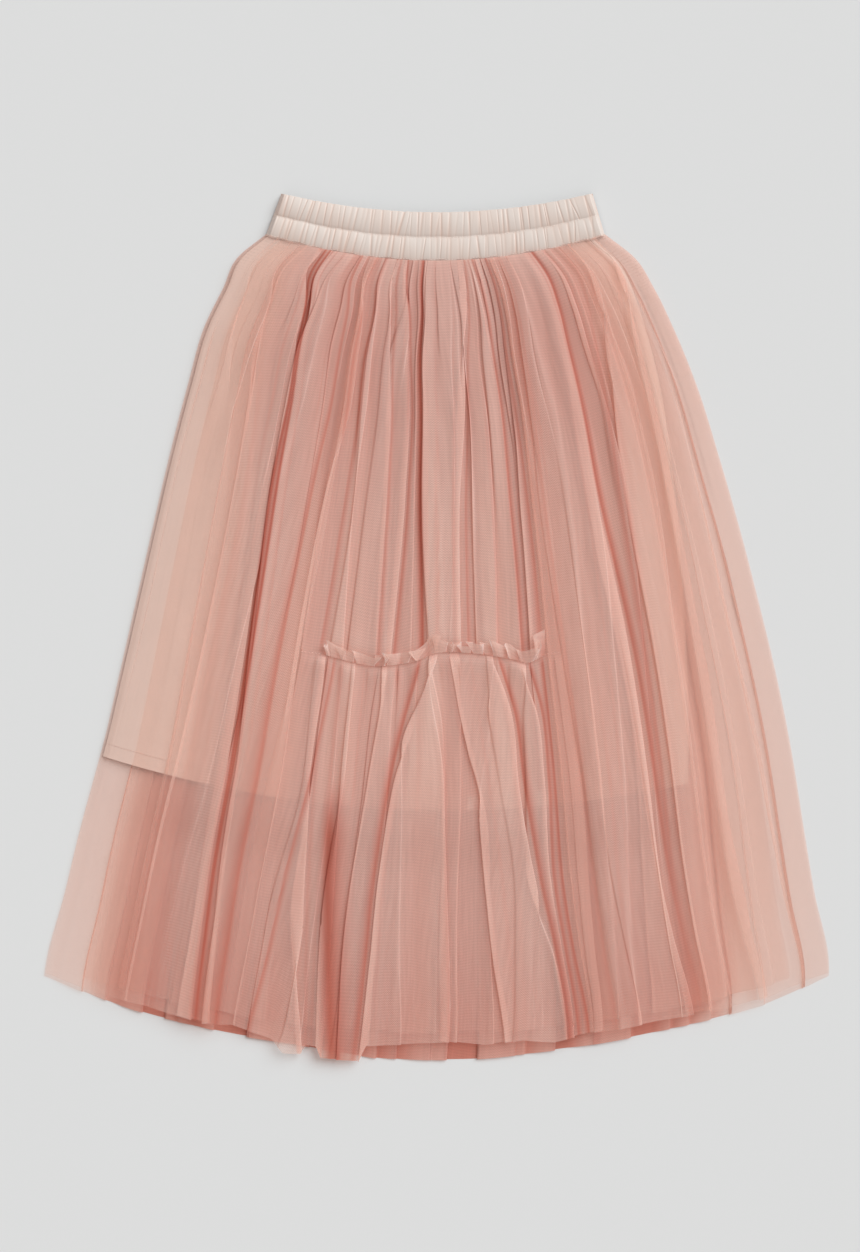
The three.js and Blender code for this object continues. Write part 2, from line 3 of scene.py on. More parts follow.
import bpy
import numpy as np
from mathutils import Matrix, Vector


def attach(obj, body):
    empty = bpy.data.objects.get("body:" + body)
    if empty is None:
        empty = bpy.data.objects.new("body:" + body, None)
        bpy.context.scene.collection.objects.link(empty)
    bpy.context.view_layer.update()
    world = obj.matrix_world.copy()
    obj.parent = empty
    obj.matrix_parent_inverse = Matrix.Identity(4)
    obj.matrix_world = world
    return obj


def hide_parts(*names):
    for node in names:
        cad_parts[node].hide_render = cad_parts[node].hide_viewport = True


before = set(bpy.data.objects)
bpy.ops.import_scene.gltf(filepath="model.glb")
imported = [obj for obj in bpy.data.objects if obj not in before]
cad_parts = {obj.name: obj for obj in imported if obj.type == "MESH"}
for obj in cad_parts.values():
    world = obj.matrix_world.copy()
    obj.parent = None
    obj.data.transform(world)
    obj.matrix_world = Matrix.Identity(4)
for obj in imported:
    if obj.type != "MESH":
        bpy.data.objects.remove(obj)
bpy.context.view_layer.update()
scene = bpy.context.scene

# The lay of the skirt. It lies on its back, flat at the sides and full in the middle, and every
# panel follows the same outline: a share across the skirt and a share down from the waist seam.
# Each layer of cloth lies on the ones below it, with room for its own folds.
OUTLINE_DOWN = [0, 0.03, 0.07, 0.12, 0.2, 0.3, 0.4, 0.49, 0.58, 0.68, 0.72, 0.79, 0.88, 0.98, 1.01]
OUTLINE_LEFT = [
    -0.168, -0.195, -0.209, -0.227, -0.244, -0.263, -0.280, -0.295,
    -0.310, -0.327, -0.335, -0.349, -0.365, -0.383, -0.386,
]
OUTLINE_RIGHT = [
    0.165, 0.193, 0.212, 0.230, 0.254, 0.277, 0.298, 0.315,
    0.331, 0.346, 0.351, 0.359, 0.370, 0.384, 0.384,
]
FULL_DOWN = [0.14, 0.45, 0.7, 0.86, 0.97, 1, 1, 1, 1, 0.97, 0.95, 0.9, 0.82, 0.74, 0.72]
SIDE_ROUNDING = 0.04
SIDE_TURN = 0.014
WAIST_SIDE_Y = 0.384
WAIST_SAG = 0.026
HEM_SIDE_Y = -0.350
HEM_DIP = 0.066
RUFFLE_SEAM = 0.49
LINING_HEM = 0.695
EDGE_MARGIN = 0.014
EDGE_RAMP = 0.050
LINING_REACH = {"left": (0.035, 0.03, 0.024), "right": (0.965, 0.88, 0.8), "hem": LINING_HEM}
# From the surface up. thick is the cloth and room the space for its folds, in metres. left and
# right are its edges as shares across the skirt at LAYER_DOWN, and hem is a share down.
LAYER_DOWN = (0, 0.5, 1)
LAYERS = {
    "back": {"thick": 0.0020, "room": 0.0018, "left": (0, 0, 0), "right": (1, 1, 1), "hem": 1.01},
    "lining_back": {"thick": 0.0015, "room": 0, **LINING_REACH},
    "lining_front": {"thick": 0.0021, "room": 0, **LINING_REACH},
    "under_front": {
        "thick": 0.0017, "room": 0.0044,
        "left": (0.05, 0.045, 0.045), "right": (0.95, 0.95, 0.95), "hem": 0.98,
    },
    "centre": {
        "thick": 0.0017, "room": 0.0050,
        "left": (0.315, 0.265, 0.24), "right": (0.68, 0.69, 0.715), "hem": 1.01,
    },
    "front": {"thick": 0.0015, "room": 0.0072, "left": (0, 0, 0), "right": (1, 1, 1), "hem": 0.985},
}


def smooth(value, low, high):
    """From 0 at low to 1 at high, with a soft start and end."""
    share = np.clip((value - low) / (high - low), 0, 1)
    return share * share * (3 - 2 * share)


def curve(at, stations, values):
    """A smooth curve through the values given at its stations."""
    stations, values = np.array(stations, float), np.array(values, float)
    slopes = np.gradient(values, stations)
    at = np.clip(at, stations[0], stations[-1])
    i = np.clip(np.searchsorted(stations, at, side="right") - 1, 0, len(stations) - 2)
    step = stations[i + 1] - stations[i]
    t = (at - stations[i]) / step
    rise = values[i + 1] - values[i]
    start, end = slopes[i] * step, slopes[i + 1] * step
    return values[i] + t * (start + t * (3 * rise - 2 * start - end + t * (start + end - 2 * rise)))


def bow(across):
    """A shallow arch: 0 at both sides of the skirt and 1 in its middle."""
    return 1 - (2 * across - 1) ** 2


def skirt_width(down):
    return curve(down, OUTLINE_DOWN, OUTLINE_RIGHT) - curve(down, OUTLINE_DOWN, OUTLINE_LEFT)


def waist_y(across):
    return WAIST_SIDE_Y - WAIST_SAG * bow(across)


def hem_y(across):
    return HEM_SIDE_Y - HEM_DIP * bow(across)


def place(across, down):
    """Where a share across and a share down lie on the surface."""
    x = curve(down, OUTLINE_DOWN, OUTLINE_LEFT) + skirt_width(down) * across
    inside = np.clip(across, 0, 1)
    return x, waist_y(inside) + (hem_y(inside) - waist_y(inside)) * down


def fullness(across, down):
    """How high the cloth may stand, from 0 at the sides to 1 in the full middle."""
    from_side = np.minimum(across, 1 - across) * skirt_width(down)
    return smooth(from_side, 0, SIDE_ROUNDING) * np.interp(down, OUTLINE_DOWN, FULL_DOWN)


def layer_edge(marks, down):
    return np.interp(down, LAYER_DOWN, marks)


def bed(layer_name, across, down):
    """Height of what lies under a layer: all the layers below it, each as far as it reaches."""
    height = np.zeros(np.broadcast(across, down).shape)
    width = skirt_width(down)
    turn = smooth(np.minimum(across, 1 - across), 0, SIDE_TURN)
    for name, layer in LAYERS.items():
        if name == layer_name:
            break
        inside = np.minimum.reduce([
            (across - layer_edge(layer["left"], down)) * width,
            (layer_edge(layer["right"], down) - across) * width,
            (layer["hem"] - down) * (waist_y(across) - hem_y(across)),
        ])
        present = smooth(inside, -EDGE_MARGIN - EDGE_RAMP, -EDGE_MARGIN)
        share = 1 if name == "back" else present * turn
        height += share * (layer["thick"] + layer["room"] * fullness(across, down))
    return height


# Tulle, the cloth of every gathered panel: a soft nylon net of small meshes, knitted in
# rows that show as fine ribs across it. One layer hides little and folds of it hide more, so the
# material is part clear, and the net that each vertex carries grows where the cloth stands on edge.
MESH_SIZE = 0.0014
MESH_STRETCH = 1.6
THREAD_WIDTH = 0.9
THREAD_COVER = 0.3
HOLE_COVER = 0.89
RIB_PITCH = 0.0029
RIB_STRENGTH = 0.05
RIB_TONE = 0.010
RIB_WAVER = 1.5
STREAK = 0.30
STREAK_TONE = 0.07
STREAK_SCALE = 300.0
STREAK_DRAWN_OUT = (1.0, 0.07, 1.0)
MOST_COVER = 0.9
LIGHT_THROUGH = 0.33
# Painted shade on the low ground between folds, and a darker tone towards the waist.
LOW_SHADE = 0.22
TOP_DEPTH = 0.20
MOST_NET = 6.0
# TULLE_LIGHT is the net's own colour. The paler colour is a painted highlight for its crests, and the deep
# one is painted shade for its valleys.
TULLE_HIGHLIGHT = (0.99, 0.88, 0.84)
TULLE_LIGHT = (0.99, 0.745, 0.655)
TULLE_SHADE = (0.60, 0.13, 0.075)
CLEAR_TINT = (1.0, 0.98, 0.97)
# Light through the holes takes a deeper tint where shade is painted.
SHADE_TINT = (0.97, 0.62, 0.50)


def add_node(tree, kind, **settings):
    made = tree.nodes.new(kind)
    for key, value in settings.items():
        setattr(made, key, value)
    return made


def feed(tree, socket, value):
    if isinstance(value, bpy.types.NodeSocket):
        tree.links.new(value, socket)
    else:
        socket.default_value = value


def maths(tree, operation, first, second=0.0, third=0.0):
    made = add_node(tree, "ShaderNodeMath", operation=operation)
    for socket, value in zip(made.inputs, (first, second, third)):
        feed(tree, socket, value)
    return made.outputs[0]


def to_range(tree, value, low, high, new_low=0.0, new_high=1.0):
    made = add_node(tree, "ShaderNodeMapRange", interpolation_type="SMOOTHSTEP")
    for socket, entry in zip(made.inputs, (value, low, high, new_low, new_high)):
        feed(tree, socket, entry)
    return made.outputs[0]


def noise(tree, vector, scale, detail=2.0):
    made = add_node(tree, "ShaderNodeTexNoise")
    feed(tree, made.inputs["Vector"], vector)
    made.inputs["Scale"].default_value = scale
    made.inputs["Detail"].default_value = detail
    return made.outputs[0]


def new_material(name):
    material = bpy.data.materials.new(name)
    material.use_nodes = True
    material.node_tree.nodes.clear()
    return material, material.node_tree


def net_threads(tree, cloth):
    """Fine diamond net: 1 on its threads and 0 in its holes, from the cloth's own metres."""
    parts = add_node(tree, "ShaderNodeSeparateXYZ")
    tree.links.new(cloth, parts.inputs[0])
    turn = 2 * math.pi / MESH_SIZE
    first = maths(tree, "COSINE", maths(tree, "MULTIPLY", parts.outputs[0], turn))
    second = maths(tree, "COSINE", maths(tree, "MULTIPLY", parts.outputs[1], turn / MESH_STRETCH))
    from_thread = maths(tree, "ABSOLUTE", maths(tree, "ADD", first, second))
    return to_range(tree, from_thread, 0.0, THREAD_WIDTH, 1.0, 0.0)


def own_value(tree, key, output="Fac"):
    """A value or colour that the cloth's vertices carry."""
    return add_node(tree, "ShaderNodeAttribute", attribute_name=key).outputs[output]


def tulle_material(name, cover):
    """Net that covers this share of what lies behind one layer of it."""
    material, tree = new_material(name)
    cloth = add_node(tree, "ShaderNodeUVMap", uv_map="cloth").outputs[0]
    net = own_value(tree, "net")
    depth_and_shade = own_value(tree, "depth_and_shade")
    rows_at = own_value(tree, "rows")
    drawn_out = add_node(tree, "ShaderNodeVectorMath", operation="MULTIPLY")
    tree.links.new(cloth, drawn_out.inputs[0])
    drawn_out.inputs[1].default_value = STREAK_DRAWN_OUT
    streak = noise(tree, drawn_out.outputs[0], STREAK_SCALE, 1.0)
    row = maths(tree, "MULTIPLY", rows_at, 2 * math.pi / RIB_PITCH)
    row = maths(tree, "MULTIPLY_ADD", streak, RIB_WAVER, row)
    ribs = maths(tree, "MULTIPLY_ADD", maths(tree, "SINE", row), RIB_STRENGTH, 1.0)
    streaks = maths(tree, "MULTIPLY_ADD", streak, STREAK, 1 - STREAK / 2)
    pattern = maths(tree, "MULTIPLY_ADD", net_threads(tree, cloth), THREAD_COVER, HOLE_COVER)
    threads = maths(tree, "MULTIPLY", maths(tree, "MULTIPLY", pattern, ribs), streaks)
    one_layer = maths(tree, "MINIMUM", maths(tree, "MULTIPLY", threads, cover), MOST_COVER)
    open_share = maths(tree, "POWER", maths(tree, "SUBTRACT", 1.0, one_layer), net)
    covered = maths(tree, "SUBTRACT", 1.0, open_share)

    tone = maths(tree, "MULTIPLY_ADD", maths(tree, "SINE", row), RIB_TONE, 1 - STREAK_TONE / 2)
    tone = maths(tree, "MULTIPLY_ADD", streak, STREAK_TONE, tone)
    shaded = add_node(tree, "ShaderNodeVectorMath", operation="SCALE")
    tree.links.new(own_value(tree, "tint", "Color"), shaded.inputs[0])
    feed(tree, shaded.inputs["Scale"], tone)
    tint = shaded.outputs[0]
    cloth_shader = add_node(tree, "ShaderNodeBsdfPrincipled")
    tree.links.new(tint, cloth_shader.inputs["Base Color"])
    cloth_shader.inputs["Roughness"].default_value = 0.7
    cloth_shader.inputs["Specular IOR Level"].default_value = 0.25
    cloth_shader.inputs["Sheen Weight"].default_value = 0.05
    cloth_shader.inputs["Sheen Roughness"].default_value = 0.4
    through = add_node(tree, "ShaderNodeBsdfTranslucent")
    tree.links.new(tint, through.inputs["Color"])
    body = add_node(tree, "ShaderNodeMixShader")
    body.inputs[0].default_value = LIGHT_THROUGH
    tree.links.new(cloth_shader.outputs[0], body.inputs[1])
    tree.links.new(through.outputs[0], body.inputs[2])
    # Painted shade: what shows through the holes is tinted deeper where the valleys are shaded.
    passed = add_node(tree, "ShaderNodeMix", data_type="RGBA")
    feed(tree, passed.inputs[0], depth_and_shade)
    passed.inputs[6].default_value = (*CLEAR_TINT, 1)
    passed.inputs[7].default_value = (*SHADE_TINT, 1)
    holes = add_node(tree, "ShaderNodeBsdfTransparent")
    tree.links.new(passed.outputs[2], holes.inputs["Color"])
    mixed = add_node(tree, "ShaderNodeMixShader")
    tree.links.new(covered, mixed.inputs[0])
    tree.links.new(holes.outputs[0], mixed.inputs[1])
    tree.links.new(body.outputs[0], mixed.inputs[2])
    output = add_node(tree, "ShaderNodeOutputMaterial")
    tree.links.new(mixed.outputs[0], output.inputs[0])
    return material


skirt_tulle = tulle_material("skirt_tulle", cover=0.22)

# How a gathered panel is laid. Each fold is a soft ridge that leans to one side, and where it leans
# further than it is wide the cloth doubles back under its crest, as gathered net does. Main folds
# are listed one by one, each crest in per cent across the skirt at the shares down in FOLD_DOWN.
FOLD_DOWN = [0, 0.12, 0.3, 0.5, 0.72, 1.0]
# These two soften the rise and the lean of all folds alike.
FOLD_LIFT = 0.72
FOLD_LEAN = 0.85
FOLD_WANDER = 0.28
FOLD_FADE = 0.12
FOLD_SIDE = 0.02
SMALL_FOLD_SHORT = 0.42


def main_fold(
    at, lean, rise, long, short, shade_amount, valley, start=-0.1, end=2.4, stations=FOLD_DOWN,
):
    """One fold. Its crest, its lean, the widths of its long and short sides and of the valley
    beyond it are in per cent of the skirt's width, and its rise in mm. Its shade amount is painted
    shade in its valley, where the net also thickens, and start and end are the shares down where
    the fold begins and has faded."""
    return {
        "at": at, "lean": lean, "rise": rise, "long": long, "short": short,
        "shade_amount": shade_amount, "valley": valley, "start": start, "end": end, "stations": stations,
    }


def small_folds(seed, count, left, right, size, lean, rise, shade_amount, end=(1.6, 2.6)):
    """Uneven small folds between two edges, each given in per cent at FOLD_DOWN."""
    dice = np.random.default_rng(seed)
    folds = []
    left, right = np.array(left, float), np.array(right, float)
    for i in range(count):
        share = (i + 0.5 + dice.uniform(-0.4, 0.4)) / count
        wander = np.cumsum(dice.normal(0, FOLD_WANDER, len(FOLD_DOWN)))
        scale = dice.uniform(0.6, 1.5)
        side = dice.choice((-1, 1))
        folds.append(main_fold(
            left + (right - left) * share + wander,
            side * lean * scale * dice.uniform(0.5, 1.2),
            rise * scale, size * scale, size * SMALL_FOLD_SHORT * scale,
            shade_amount * dice.uniform(0.25, 0.7), size * dice.uniform(0.9, 1.8),
            end=dice.uniform(*end),
        ))
    return folds


def fold_strength(fold, rows):
    fading = 1 - smooth(rows, fold["end"] * 0.5, fold["end"])
    return fading * smooth(rows, fold["start"], fold["start"] + FOLD_FADE)


def lay_folds(across, down, folds):
    """Place across the skirt, height in metres, and the valleys' depth with their painted shade,
    of cloth with these folds.
    """
    shift = np.zeros(across.shape)
    height = np.zeros(across.shape)
    depth_and_shade = np.zeros(across.shape)
    rows = down[:, :1]
    for fold in folds:
        side = np.sign(fold["lean"])
        crest = curve(rows, fold["stations"], fold["at"]) / 100
        beyond = (across - crest + FOLD_LEAN * fold["lean"] / 100) * side
        share = np.where(beyond < 0, beyond / fold["long"], beyond / fold["short"]) * 100
        bump = np.clip(1 - share**2, 0, 1) ** 2 * fold_strength(fold, rows)
        shift += FOLD_LEAN * fold["lean"] / 100 * bump
        height += FOLD_LIFT * fold["rise"] / 1000 * bump
    placed = across + shift * smooth(np.minimum(across, 1 - across), 0, FOLD_SIDE)
    # Painted shade in the valley beyond each crest, on the side it leans to.
    for fold in folds:
        crest = curve(rows, fold["stations"], fold["at"]) / 100
        beyond = (placed - crest) * np.sign(fold["lean"]) / fold["valley"] * 100
        hollow = smooth(1 - beyond, 0.0, 0.9) * smooth(beyond, 0.0, 0.3)
        depth_and_shade = np.maximum(depth_and_shade, hollow * fold["shade_amount"] * fold_strength(fold, rows))
    return placed, height, depth_and_shade


ROW_SWAYS = ((0.004, 23, 0), (0.002, 61, 1.3))


def cloth_grid(name, points, cloth, material, dress=None):
    """A single sheet of cloth from a grid of points, with its flat metres as a UV map. dress is
    the net, the depth with its painted shade, and the colour with any painted shade and highlight
    that its vertices carry."""
    row_count, column_count = points.shape[:2]
    mesh = bpy.data.meshes.new(name)
    mesh.vertices.add(row_count * column_count)
    mesh.vertices.foreach_set("co", points.reshape(-1).astype(np.float32))
    index = np.arange(row_count * column_count).reshape(row_count, column_count)
    corners = np.stack([index[:-1, :-1], index[1:, :-1], index[1:, 1:], index[:-1, 1:]], axis=-1)
    corners = corners.reshape(-1, 4)
    mesh.loops.add(corners.size)
    mesh.loops.foreach_set("vertex_index", corners.reshape(-1))
    mesh.polygons.add(len(corners))
    mesh.polygons.foreach_set("loop_start", np.arange(0, corners.size, 4))
    mesh.polygons.foreach_set("loop_total", np.full(len(corners), 4))
    mesh.update(calc_edges=True)
    mesh.polygons.foreach_set("use_smooth", np.ones(len(corners), bool))
    uv_map = mesh.uv_layers.new(name="cloth")
    corner_metres = cloth.reshape(-1, 2)[corners.reshape(-1)]
    uv_map.data.foreach_set("uv", corner_metres.reshape(-1).astype(np.float32))
    net, depth_and_shade, tint = dress if dress is not None else (1.0, 0.0, np.ones(3))
    rows = cloth[..., 1]
    for sway, turns, start in ROW_SWAYS:
        rows = rows + sway * np.sin(cloth[..., 0] * turns + start)
    for key, values in (("net", net), ("depth_and_shade", depth_and_shade), ("rows", rows)):
        attribute = mesh.attributes.new(key, "FLOAT", "POINT")
        full = np.broadcast_to(values, (row_count, column_count)).reshape(-1)
        attribute.data.foreach_set("value", full.astype(np.float32))
    colours = np.ones((row_count, column_count, 4), np.float32)
    colours[..., :3] = tint
    mesh.attributes.new("tint", "FLOAT_COLOR", "POINT").data.foreach_set("color", colours.reshape(-1))
    mesh.materials.append(material)
    mesh.validate()
    piece = bpy.data.objects.new(name, mesh)
    scene.collection.objects.link(piece)
    return piece


SINGLE_NET = 0.6
FULL_NET = 2.3
BUNCHING = 0.8
LOOSE_HEM = 0.3


def gathering(down, dense, inner):
    """How many times over the cloth lies in folds too small to model, from none at the sides."""
    bunched = (skirt_width(1.0) / skirt_width(down)) ** BUNCHING * (1 - LOOSE_HEM * smooth(down, 0.8, 1.0))
    return (SINGLE_NET + (FULL_NET * dense - SINGLE_NET) * inner) * bunched


STEEPEST = 0.22


def dress_tulle(points, crest, depth_and_shade, gathered, from_side=1.0):
    """Net, depth and colour of tulle: denser where it stands on edge and in deep valleys, with a
    painted highlight on its crests and painted shade in its valleys. from_side goes from 0 at the
    skirt's sides to 1."""
    facing = np.cross(np.gradient(points, axis=0), np.gradient(points, axis=1))
    level = np.abs(facing[..., 2]) / np.maximum(np.linalg.norm(facing, axis=-1), 1e-12)
    on_edge = 1 + (1 / np.clip(level, STEEPEST, 1) - 1) * from_side
    # Painted highlight: a paler colour on the crests where the net stands on edge, less where shade is
    # painted.
    crest_highlight = smooth(on_edge, 1.05, 1.9) * smooth(crest, 0.45, 0.8) * (1 - np.clip(depth_and_shade * 1.5, 0, 1))
    # Painted shade: the colour goes from the net's own towards the deep colour as its shade grows.
    shade_amount = np.clip(depth_and_shade, 0, 1)[..., None]
    tint = np.array(TULLE_LIGHT) * (1 - shade_amount) + np.array(TULLE_SHADE) * shade_amount
    tint = tint + (np.array(TULLE_HIGHLIGHT) - tint) * crest_highlight[..., None]
    net = on_edge * gathered * (1 + 0.6 * depth_and_shade + 2.4 * depth_and_shade**2)
    return np.minimum(net, MOST_NET), depth_and_shade, tint


HEM_TURN_LIFT = 0.0005
HEM_TURN_EDGE = 0.003
ROWS_CLOSER = 1.12
LEAST_ROOM = 0.15
FOLD_PULL = 0.45
SEAM_HOLD = 0.016
SEAM_PUFF = 0.35
SEAM_REACH = 0.09
PARTED_SINK = 0.003
PARTED_NET = 0.25
UNDER_EDGE_NET = 0.3


def lay_panel(
    name, layer_name, left, right, top, hem, columns, rows, folds, cut, material,
    hem_drops=None, seam_pull=None, shade=0.0, dense=1.0, sheer=(0.04, 0.12, 0.08, 0.17), turned=0.0,
    parted=None,
):
    """Lays one gathered panel in its layer. left and right give its edges in per cent at FOLD_DOWN,
    top and hem are shares down, and cut is its flat size. hem_drops lets its hem down in mm, and
    seam_pull pulls it down at the flounce's seam. shade is painted shade over the whole panel, for
    one that lies under others, and thickens its net too; dense gathers it more, and sheer gives
    where its net is single at the left and at the right. turned is the height of its turned hem,
    and parted is the edge, 0 or 1, that ends free over the centre."""
    layer = LAYERS[layer_name]
    down = top + (hem - top) * np.linspace(0, 1, rows) ** ROWS_CLOSER
    down = np.repeat(down[:, None], columns, axis=1)
    edge_left = curve(down, FOLD_DOWN, left) / 100
    edge_right = curve(down, FOLD_DOWN, right) / 100
    share = np.repeat(np.linspace(0, 1, columns)[None, :], rows, axis=0)
    across = edge_left + (edge_right - edge_left) * share
    placed, height, depth_and_shade = lay_folds(across, down, folds)
    room = (layer["room"] + layer["thick"]) * np.clip(fullness(placed, down), LEAST_ROOM, 1)
    if seam_pull is not None:
        from_seam = np.abs(down - RUFFLE_SEAM)
        puff = 1 + SEAM_PUFF * np.exp(-(((from_seam - 0.02) / 0.014) ** 2))
        held = smooth(from_seam, 0.0, SEAM_HOLD) * puff
        height = height * held
        depth_and_shade = depth_and_shade * np.clip(0.6 + 0.4 * held, 0, 1)
    height = room * np.tanh(height / np.maximum(room, 1e-6))
    x, y = place(placed, down)
    y = y - FOLD_PULL * height * smooth(down, 0.75, 1.0)
    if hem_drops is not None:
        y = y - np.interp(placed * 100, *hem_drops) / 1000 * smooth(down, 0.86, hem)
    if seam_pull is not None:
        y = y - seam_pull(placed) * np.exp(-(((down - RUFFLE_SEAM) / SEAM_REACH) ** 2))
    z = bed(layer_name, placed, down) + height
    if turned > 0:
        z = z + HEM_TURN_LIFT * smooth(down, hem - turned, hem - turned + HEM_TURN_EDGE)
    if parted is not None:
        near_edge = 1 - smooth(np.abs(share - parted), 0.08, 0.22)
        z = z - PARTED_SINK * near_edge * fullness(placed, down)
    points = np.stack([x, y, z], axis=-1)
    cloth = np.stack([share * cut[0], (top - down) / (hem - top) * cut[1]], axis=-1)
    if layer_name.startswith("lining"):
        return cloth_grid(name, points, cloth, material)
    inner = smooth(placed, sheer[0], sheer[1]) * smooth(1 - placed, sheer[2], sheer[3])
    # Painted shade: the panel's own shade, more on the low ground between folds, and darker towards the
    # waist.
    low = shade + LOW_SHADE * (1 - smooth(height / room, 0.0, 0.8))
    low = low + TOP_DEPTH * (1 - smooth(down, 0.05, 0.4))
    depth_and_shade = np.maximum(depth_and_shade, low) * (0.25 + 0.75 * inner)
    gathered = gathering(down, dense, inner)
    if layer_name == "under_front":
        from_edge = smooth(np.minimum(share, 1 - share), 0, 0.05)
        gathered = gathered * (UNDER_EDGE_NET + (1 - UNDER_EDGE_NET) * from_edge)
    if parted is not None:
        from_edge = smooth(np.abs(share - parted), 0, 0.2)
        gathered = gathered * (PARTED_NET + (1 - PARTED_NET) * from_edge)
    from_side = smooth(np.minimum(placed, 1 - placed), 0.004, 0.035)
    dress = dress_tulle(points, height / room, depth_and_shade, gathered, from_side)
    return cloth_grid(name, points, cloth, material, dress)


# Back of the skirt: one gathered tulle panel, flat on the surface. Its cut hem shows a finger's
# width below the front in the middle. Hem drops pair a place in per cent with a drop in mm.
BACK_HEM_DROPS = ((0, 10, 20, 32, 42, 55, 66, 80, 92, 100), (-8, -2, 0, 1, 8, 8, 4, 1, 0, -8))
WHOLE_LEFT = [0] * 6
WHOLE_RIGHT = [100] * 6
BACK_CUT = (0.95, 0.79)


def sew_in(piece, node):
    """The finished cloth takes the place of its plain solid."""
    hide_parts(node)
    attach(piece, "root")


# The back lies under all the rest, and its shade paints it darker all over.
back = lay_panel(
    "back_tulle", "back", WHOLE_LEFT, WHOLE_RIGHT, top=0, hem=1.0, columns=300, rows=90,
    folds=small_folds(11, 30, WHOLE_LEFT, WHOLE_RIGHT, size=2.2, lean=1.6, rise=3.0, shade_amount=0.4),
    cut=BACK_CUT, material=skirt_tulle, hem_drops=BACK_HEM_DROPS,
    shade=0.55, dense=2.8, sheer=(0.04, 0.12, 0.10, 0.20),
)
sew_in(back, "back")

# Lining: a plain woven tube, shorter than the net, with a turned and stitched hem. It is thin
# enough to let some light through, and shows as a paler shape behind the tulle.
LINING_COLOUR = (0.83, 0.68, 0.61)
LINING_CUT = (0.52, 0.54)
LINING_TURN = 0.024
LINING_SHEER = 0.2
LINING_MOTTLE = 0.04
LINING_WEAVE = 600.0


def lining_material():
    material, tree = new_material("lining_cloth")
    cloth = add_node(tree, "ShaderNodeUVMap", uv_map="cloth").outputs[0]
    shader = add_node(tree, "ShaderNodeBsdfPrincipled")
    tint = add_node(tree, "ShaderNodeMix", data_type="RGBA")
    feed(tree, tint.inputs[0], noise(tree, cloth, 30.0, 3.0))
    tint.inputs[6].default_value = (*[part * (1 - LINING_MOTTLE) for part in LINING_COLOUR], 1)
    tint.inputs[7].default_value = (*[part * (1 + LINING_MOTTLE) for part in LINING_COLOUR], 1)
    tree.links.new(tint.outputs[2], shader.inputs["Base Color"])
    shader.inputs["Roughness"].default_value = 0.55
    weave = add_node(tree, "ShaderNodeTexWave", bands_direction="X")
    tree.links.new(cloth, weave.inputs["Vector"])
    weave.inputs["Scale"].default_value = LINING_WEAVE
    bump = add_node(tree, "ShaderNodeBump")
    bump.inputs["Strength"].default_value = 0.15
    bump.inputs["Distance"].default_value = 0.0004
    tree.links.new(weave.outputs[1], bump.inputs["Height"])
    tree.links.new(bump.outputs[0], shader.inputs["Normal"])
    thin = add_node(tree, "ShaderNodeMixShader")
    thin.inputs[0].default_value = LINING_SHEER
    tree.links.new(shader.outputs[0], thin.inputs[1])
    tree.links.new(add_node(tree, "ShaderNodeBsdfTransparent").outputs[0], thin.inputs[2])
    output = add_node(tree, "ShaderNodeOutputMaterial")
    tree.links.new(thin.outputs[0], output.inputs[0])
    return material


lining_cloth = lining_material()
LINING_LEFT = [1.0, 0.8, 0.6, 0.5, 0.4, 0.4]
LINING_RIGHT = [96.5, 94.5, 91.4, 88.0, 84.5, 80.0]
lining_back = lay_panel(
    "lining_back_cloth", "lining_back", LINING_LEFT, LINING_RIGHT,
    top=0, hem=LINING_HEM, columns=160, rows=60,
    folds=small_folds(21, 12, LINING_LEFT, LINING_RIGHT, size=4.0, lean=0.5, rise=0.8, shade_amount=0),
    cut=LINING_CUT, material=lining_cloth, turned=LINING_TURN,
)
sew_in(lining_back, "lining_back")
LINING_ROWS = 90
lining_front = lay_panel(
    "lining_front_cloth", "lining_front", LINING_LEFT, LINING_RIGHT,
    top=0, hem=LINING_HEM, columns=200, rows=LINING_ROWS,
    folds=small_folds(22, 16, LINING_LEFT, LINING_RIGHT, size=4.0, lean=0.7, rise=1.5, shade_amount=0),
    cut=LINING_CUT, material=lining_cloth, turned=LINING_TURN,
)
sew_in(lining_front, "lining_front")


